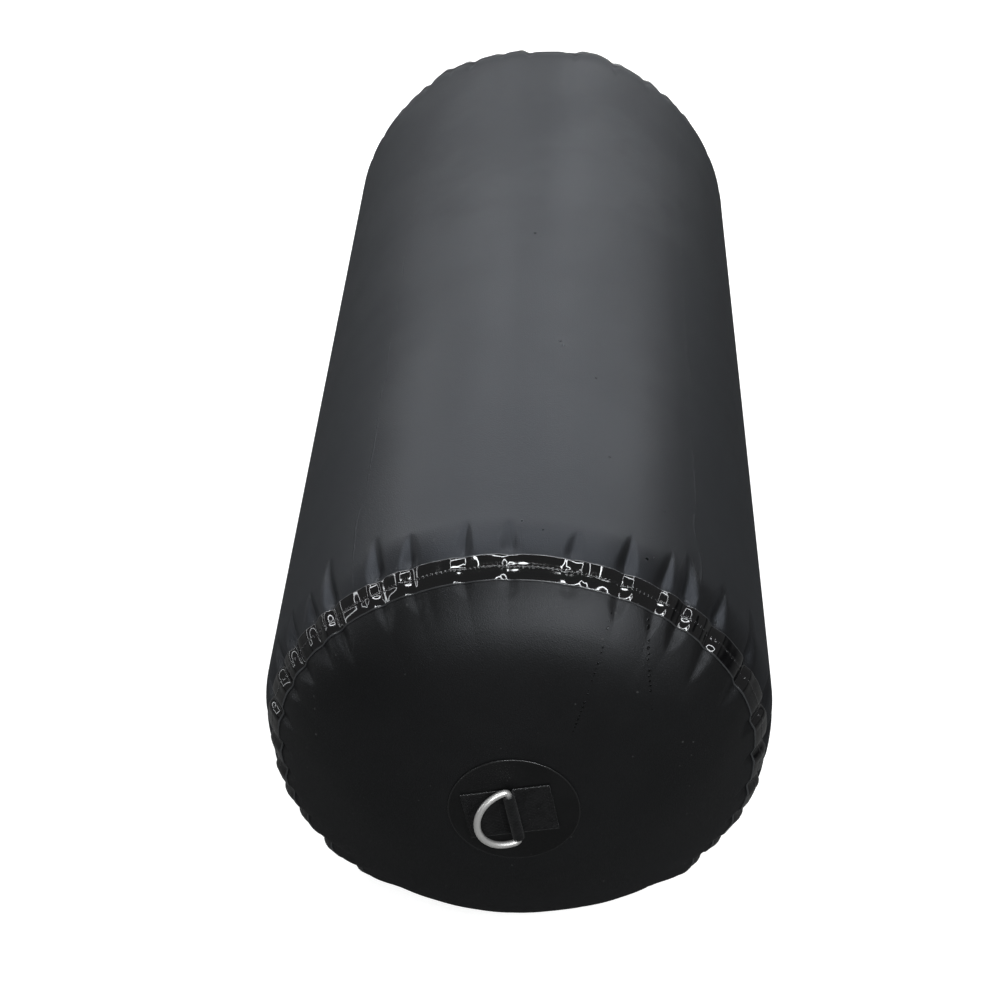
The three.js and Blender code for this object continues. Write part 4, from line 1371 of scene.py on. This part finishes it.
# Softboxes: place, aim, width and height, and watts
SOFTBOXES = {
    "left": ((-0.94, 2.0, 1.32), (0, 0, 0.3), (1.1, 1.6), 20),
    "right": ((0.80, 2.0, 1.32), (0, 0, 0.3), (1.0, 1.6), 20),
    "back": ((0.05, 2.4, 1.0), (0, 0, 0.3), (1.5, 0.8), 2.0),
    "over": ((0.0, 0.95, 2.50), (0, -0.4, 0.4), (2.4, 1.0), 24),
    "high": ((0.0, -0.2, 2.75), (0, -0.3, 0.4), (2.8, 1.2), 40),
    "front": ((0.35, -2.4, 1.85), (0, -0.5, 0.4), (1.5, 0.9), 34),
    "near": ((1.35, -1.9, 2.1), (0, -0.5, 0.4), (1.1, 0.8), 20),
    "side": ((-2.3, 0.3, 0.9), (-0.3, 0, 0.0), (2.2, 1.2), 12),
}


class StageOperator(bpy.types.Operator):
    """Lay the floor and set the lamps and the camera"""

    bl_idname = "fender.stage"
    bl_label = "Stage"

    def execute(self, context):
        scene = context.scene
        self.floor(scene.fender_colours)
        self.sky(scene)
        for name, (place, target, size, power) in SOFTBOXES.items():
            self.softbox(name, place, target, size, power)
        self.camera(scene)
        scene.view_settings.view_transform = "Standard"
        return {"FINISHED"}

    def rays(self, s):
        """The ray kinds, and a mask of those that come off or through a surface."""
        path = s.add("ShaderNodeLightPath").outputs
        return path, s.math("MAXIMUM", path["Is Glossy Ray"], path["Is Transmission Ray"])

    def floor(self, colours):
        made, s, surface = new_material("Pale floor")
        speckle = s.range(s.noise(s.place(), 400.0, 2.0), 0.3, 0.7)
        base = s.uneven(speckle, colours.floor, 0.985, 1.0)
        path, mirrored = self.rays(s)
        # Painted dark reflection: seen in a reflection, the floor is a fifth as pale, so the fender
        # mirrors a darker floor
        base = s.blend(mirrored, base, times(colours.floor, 0.20))
        set_surface(s, surface, colour=base, roughness=0.9, specular=0.1)
        strength = s.math("MULTIPLY", path["Is Camera Ray"], FLOOR_GLOW)
        glow = s.add("ShaderNodeEmission", {"Color": (1, 1, 1), "Strength": strength})
        both = s.add("ShaderNodeAddShader")
        s.put(both.inputs[0], surface.outputs["BSDF"])
        s.put(both.inputs[1], glow.outputs["Emission"])
        output = made.node_tree.nodes["Material Output"]
        s.put(output.inputs["Surface"], both.outputs["Shader"])
        corners = ((-1, -1, 0), (1, -1, 0), (1, 1, 0), (-1, 1, 0))
        obj = object_from("floor", np.multiply(corners, FLOOR_SIZE), [(0, 1, 2, 3)])
        paint(obj, made)

    def sky(self, scene):
        world = bpy.data.worlds.new("Studio")
        scene.world = world
        world.use_nodes = True
        s = Shader(world.node_tree)
        background = world.node_tree.nodes["Background"]
        path, mirrored = self.rays(s)
        seen = s.math("MAXIMUM", path["Is Camera Ray"], mirrored)
        strength = s.math("MAXIMUM", path["Is Camera Ray"], s.math("MULTIPLY", mirrored, 0.16))
        s.put(background.inputs["Color"], s.blend(seen, (0.96, 0.98, 1.0), (1.0, 1.0, 1.0)))
        s.put(background.inputs["Strength"], s.math("MAXIMUM", strength, 0.12))

    def softbox(self, name, place, target, size, power):
        """A softbox lit along its four edges, so that glossy film shows its outline."""
        place = Vector(place)
        turn = (Vector(target) - place).to_track_quat("-Z", "Y")
        wide, tall = size
        for edge, x, y, own in (
            ("top", 0, tall / 2, (wide, LAMP_BAR)), ("bottom", 0, -tall / 2, (wide, LAMP_BAR)),
            ("left", -wide / 2, 0, (LAMP_BAR, tall)), ("right", wide / 2, 0, (LAMP_BAR, tall)),
        ):
            light = bpy.data.lights.new(f"{name}_softbox_{edge}", "AREA")
            light.shape = "RECTANGLE"
            light.size, light.size_y = own
            light.energy = power * max(own) / (2 * (wide + tall))
            light.color = (0.95, 0.975, 1.0)
            obj = bpy.data.objects.new(light.name, light)
            obj.location = place + turn @ Vector((x, y, 0))
            obj.rotation_euler = turn.to_euler()
            bpy.context.scene.collection.objects.link(obj)

    def camera(self, scene):
        data = bpy.data.cameras.new("camera")
        data.lens = CAMERA_LENS
        data.sensor_width = 36
        obj = bpy.data.objects.new("camera", data)
        obj.location = CAMERA_PLACE
        obj.rotation_euler = Vector(CAMERA_LOOK).to_track_quat("-Z", "Y").to_euler()
        scene.collection.objects.link(obj)
        scene.camera = obj


class FenderPanel(bpy.types.Panel):
    """Lists the fender's pieces"""

    bl_idname = "VIEW3D_PT_fender"
    bl_label = "Boat Fender"
    bl_space_type = "VIEW_3D"
    bl_region_type = "UI"
    bl_category = "Fender"

    def draw(self, context):
        layout = self.layout
        for made in OPERATORS:
            layout.operator(made.bl_idname)
        for group in (context.scene.fender_sizes, context.scene.fender_colours):
            box = layout.box()
            for key in group.bl_rna.properties.keys():
                if key not in ("rna_type", "name"):
                    box.prop(group, key)


OPERATORS = (
    SleeveOperator, EndPanelOperator, SeamTapeOperator, RingPatchOperator, RingStrapOperator,
    RingOperator, ValveOperator, StageOperator,
)
CLASSES = (FenderSizes, FenderColours, *OPERATORS, FenderPanel)


def register():
    for made in CLASSES:
        bpy.utils.register_class(made)
    bpy.types.Scene.fender_sizes = PointerProperty(type=FenderSizes)
    bpy.types.Scene.fender_colours = PointerProperty(type=FenderColours)


def unregister():
    del bpy.types.Scene.fender_colours
    del bpy.types.Scene.fender_sizes
    for made in reversed(CLASSES):
        bpy.utils.unregister_class(made)


def main():
    register()
    for made in OPERATORS:
        family, action = made.bl_idname.split(".")
        getattr(getattr(bpy.ops, family), action)()
    bpy.context.view_layer.update()


if __name__ == "__main__":
    main()
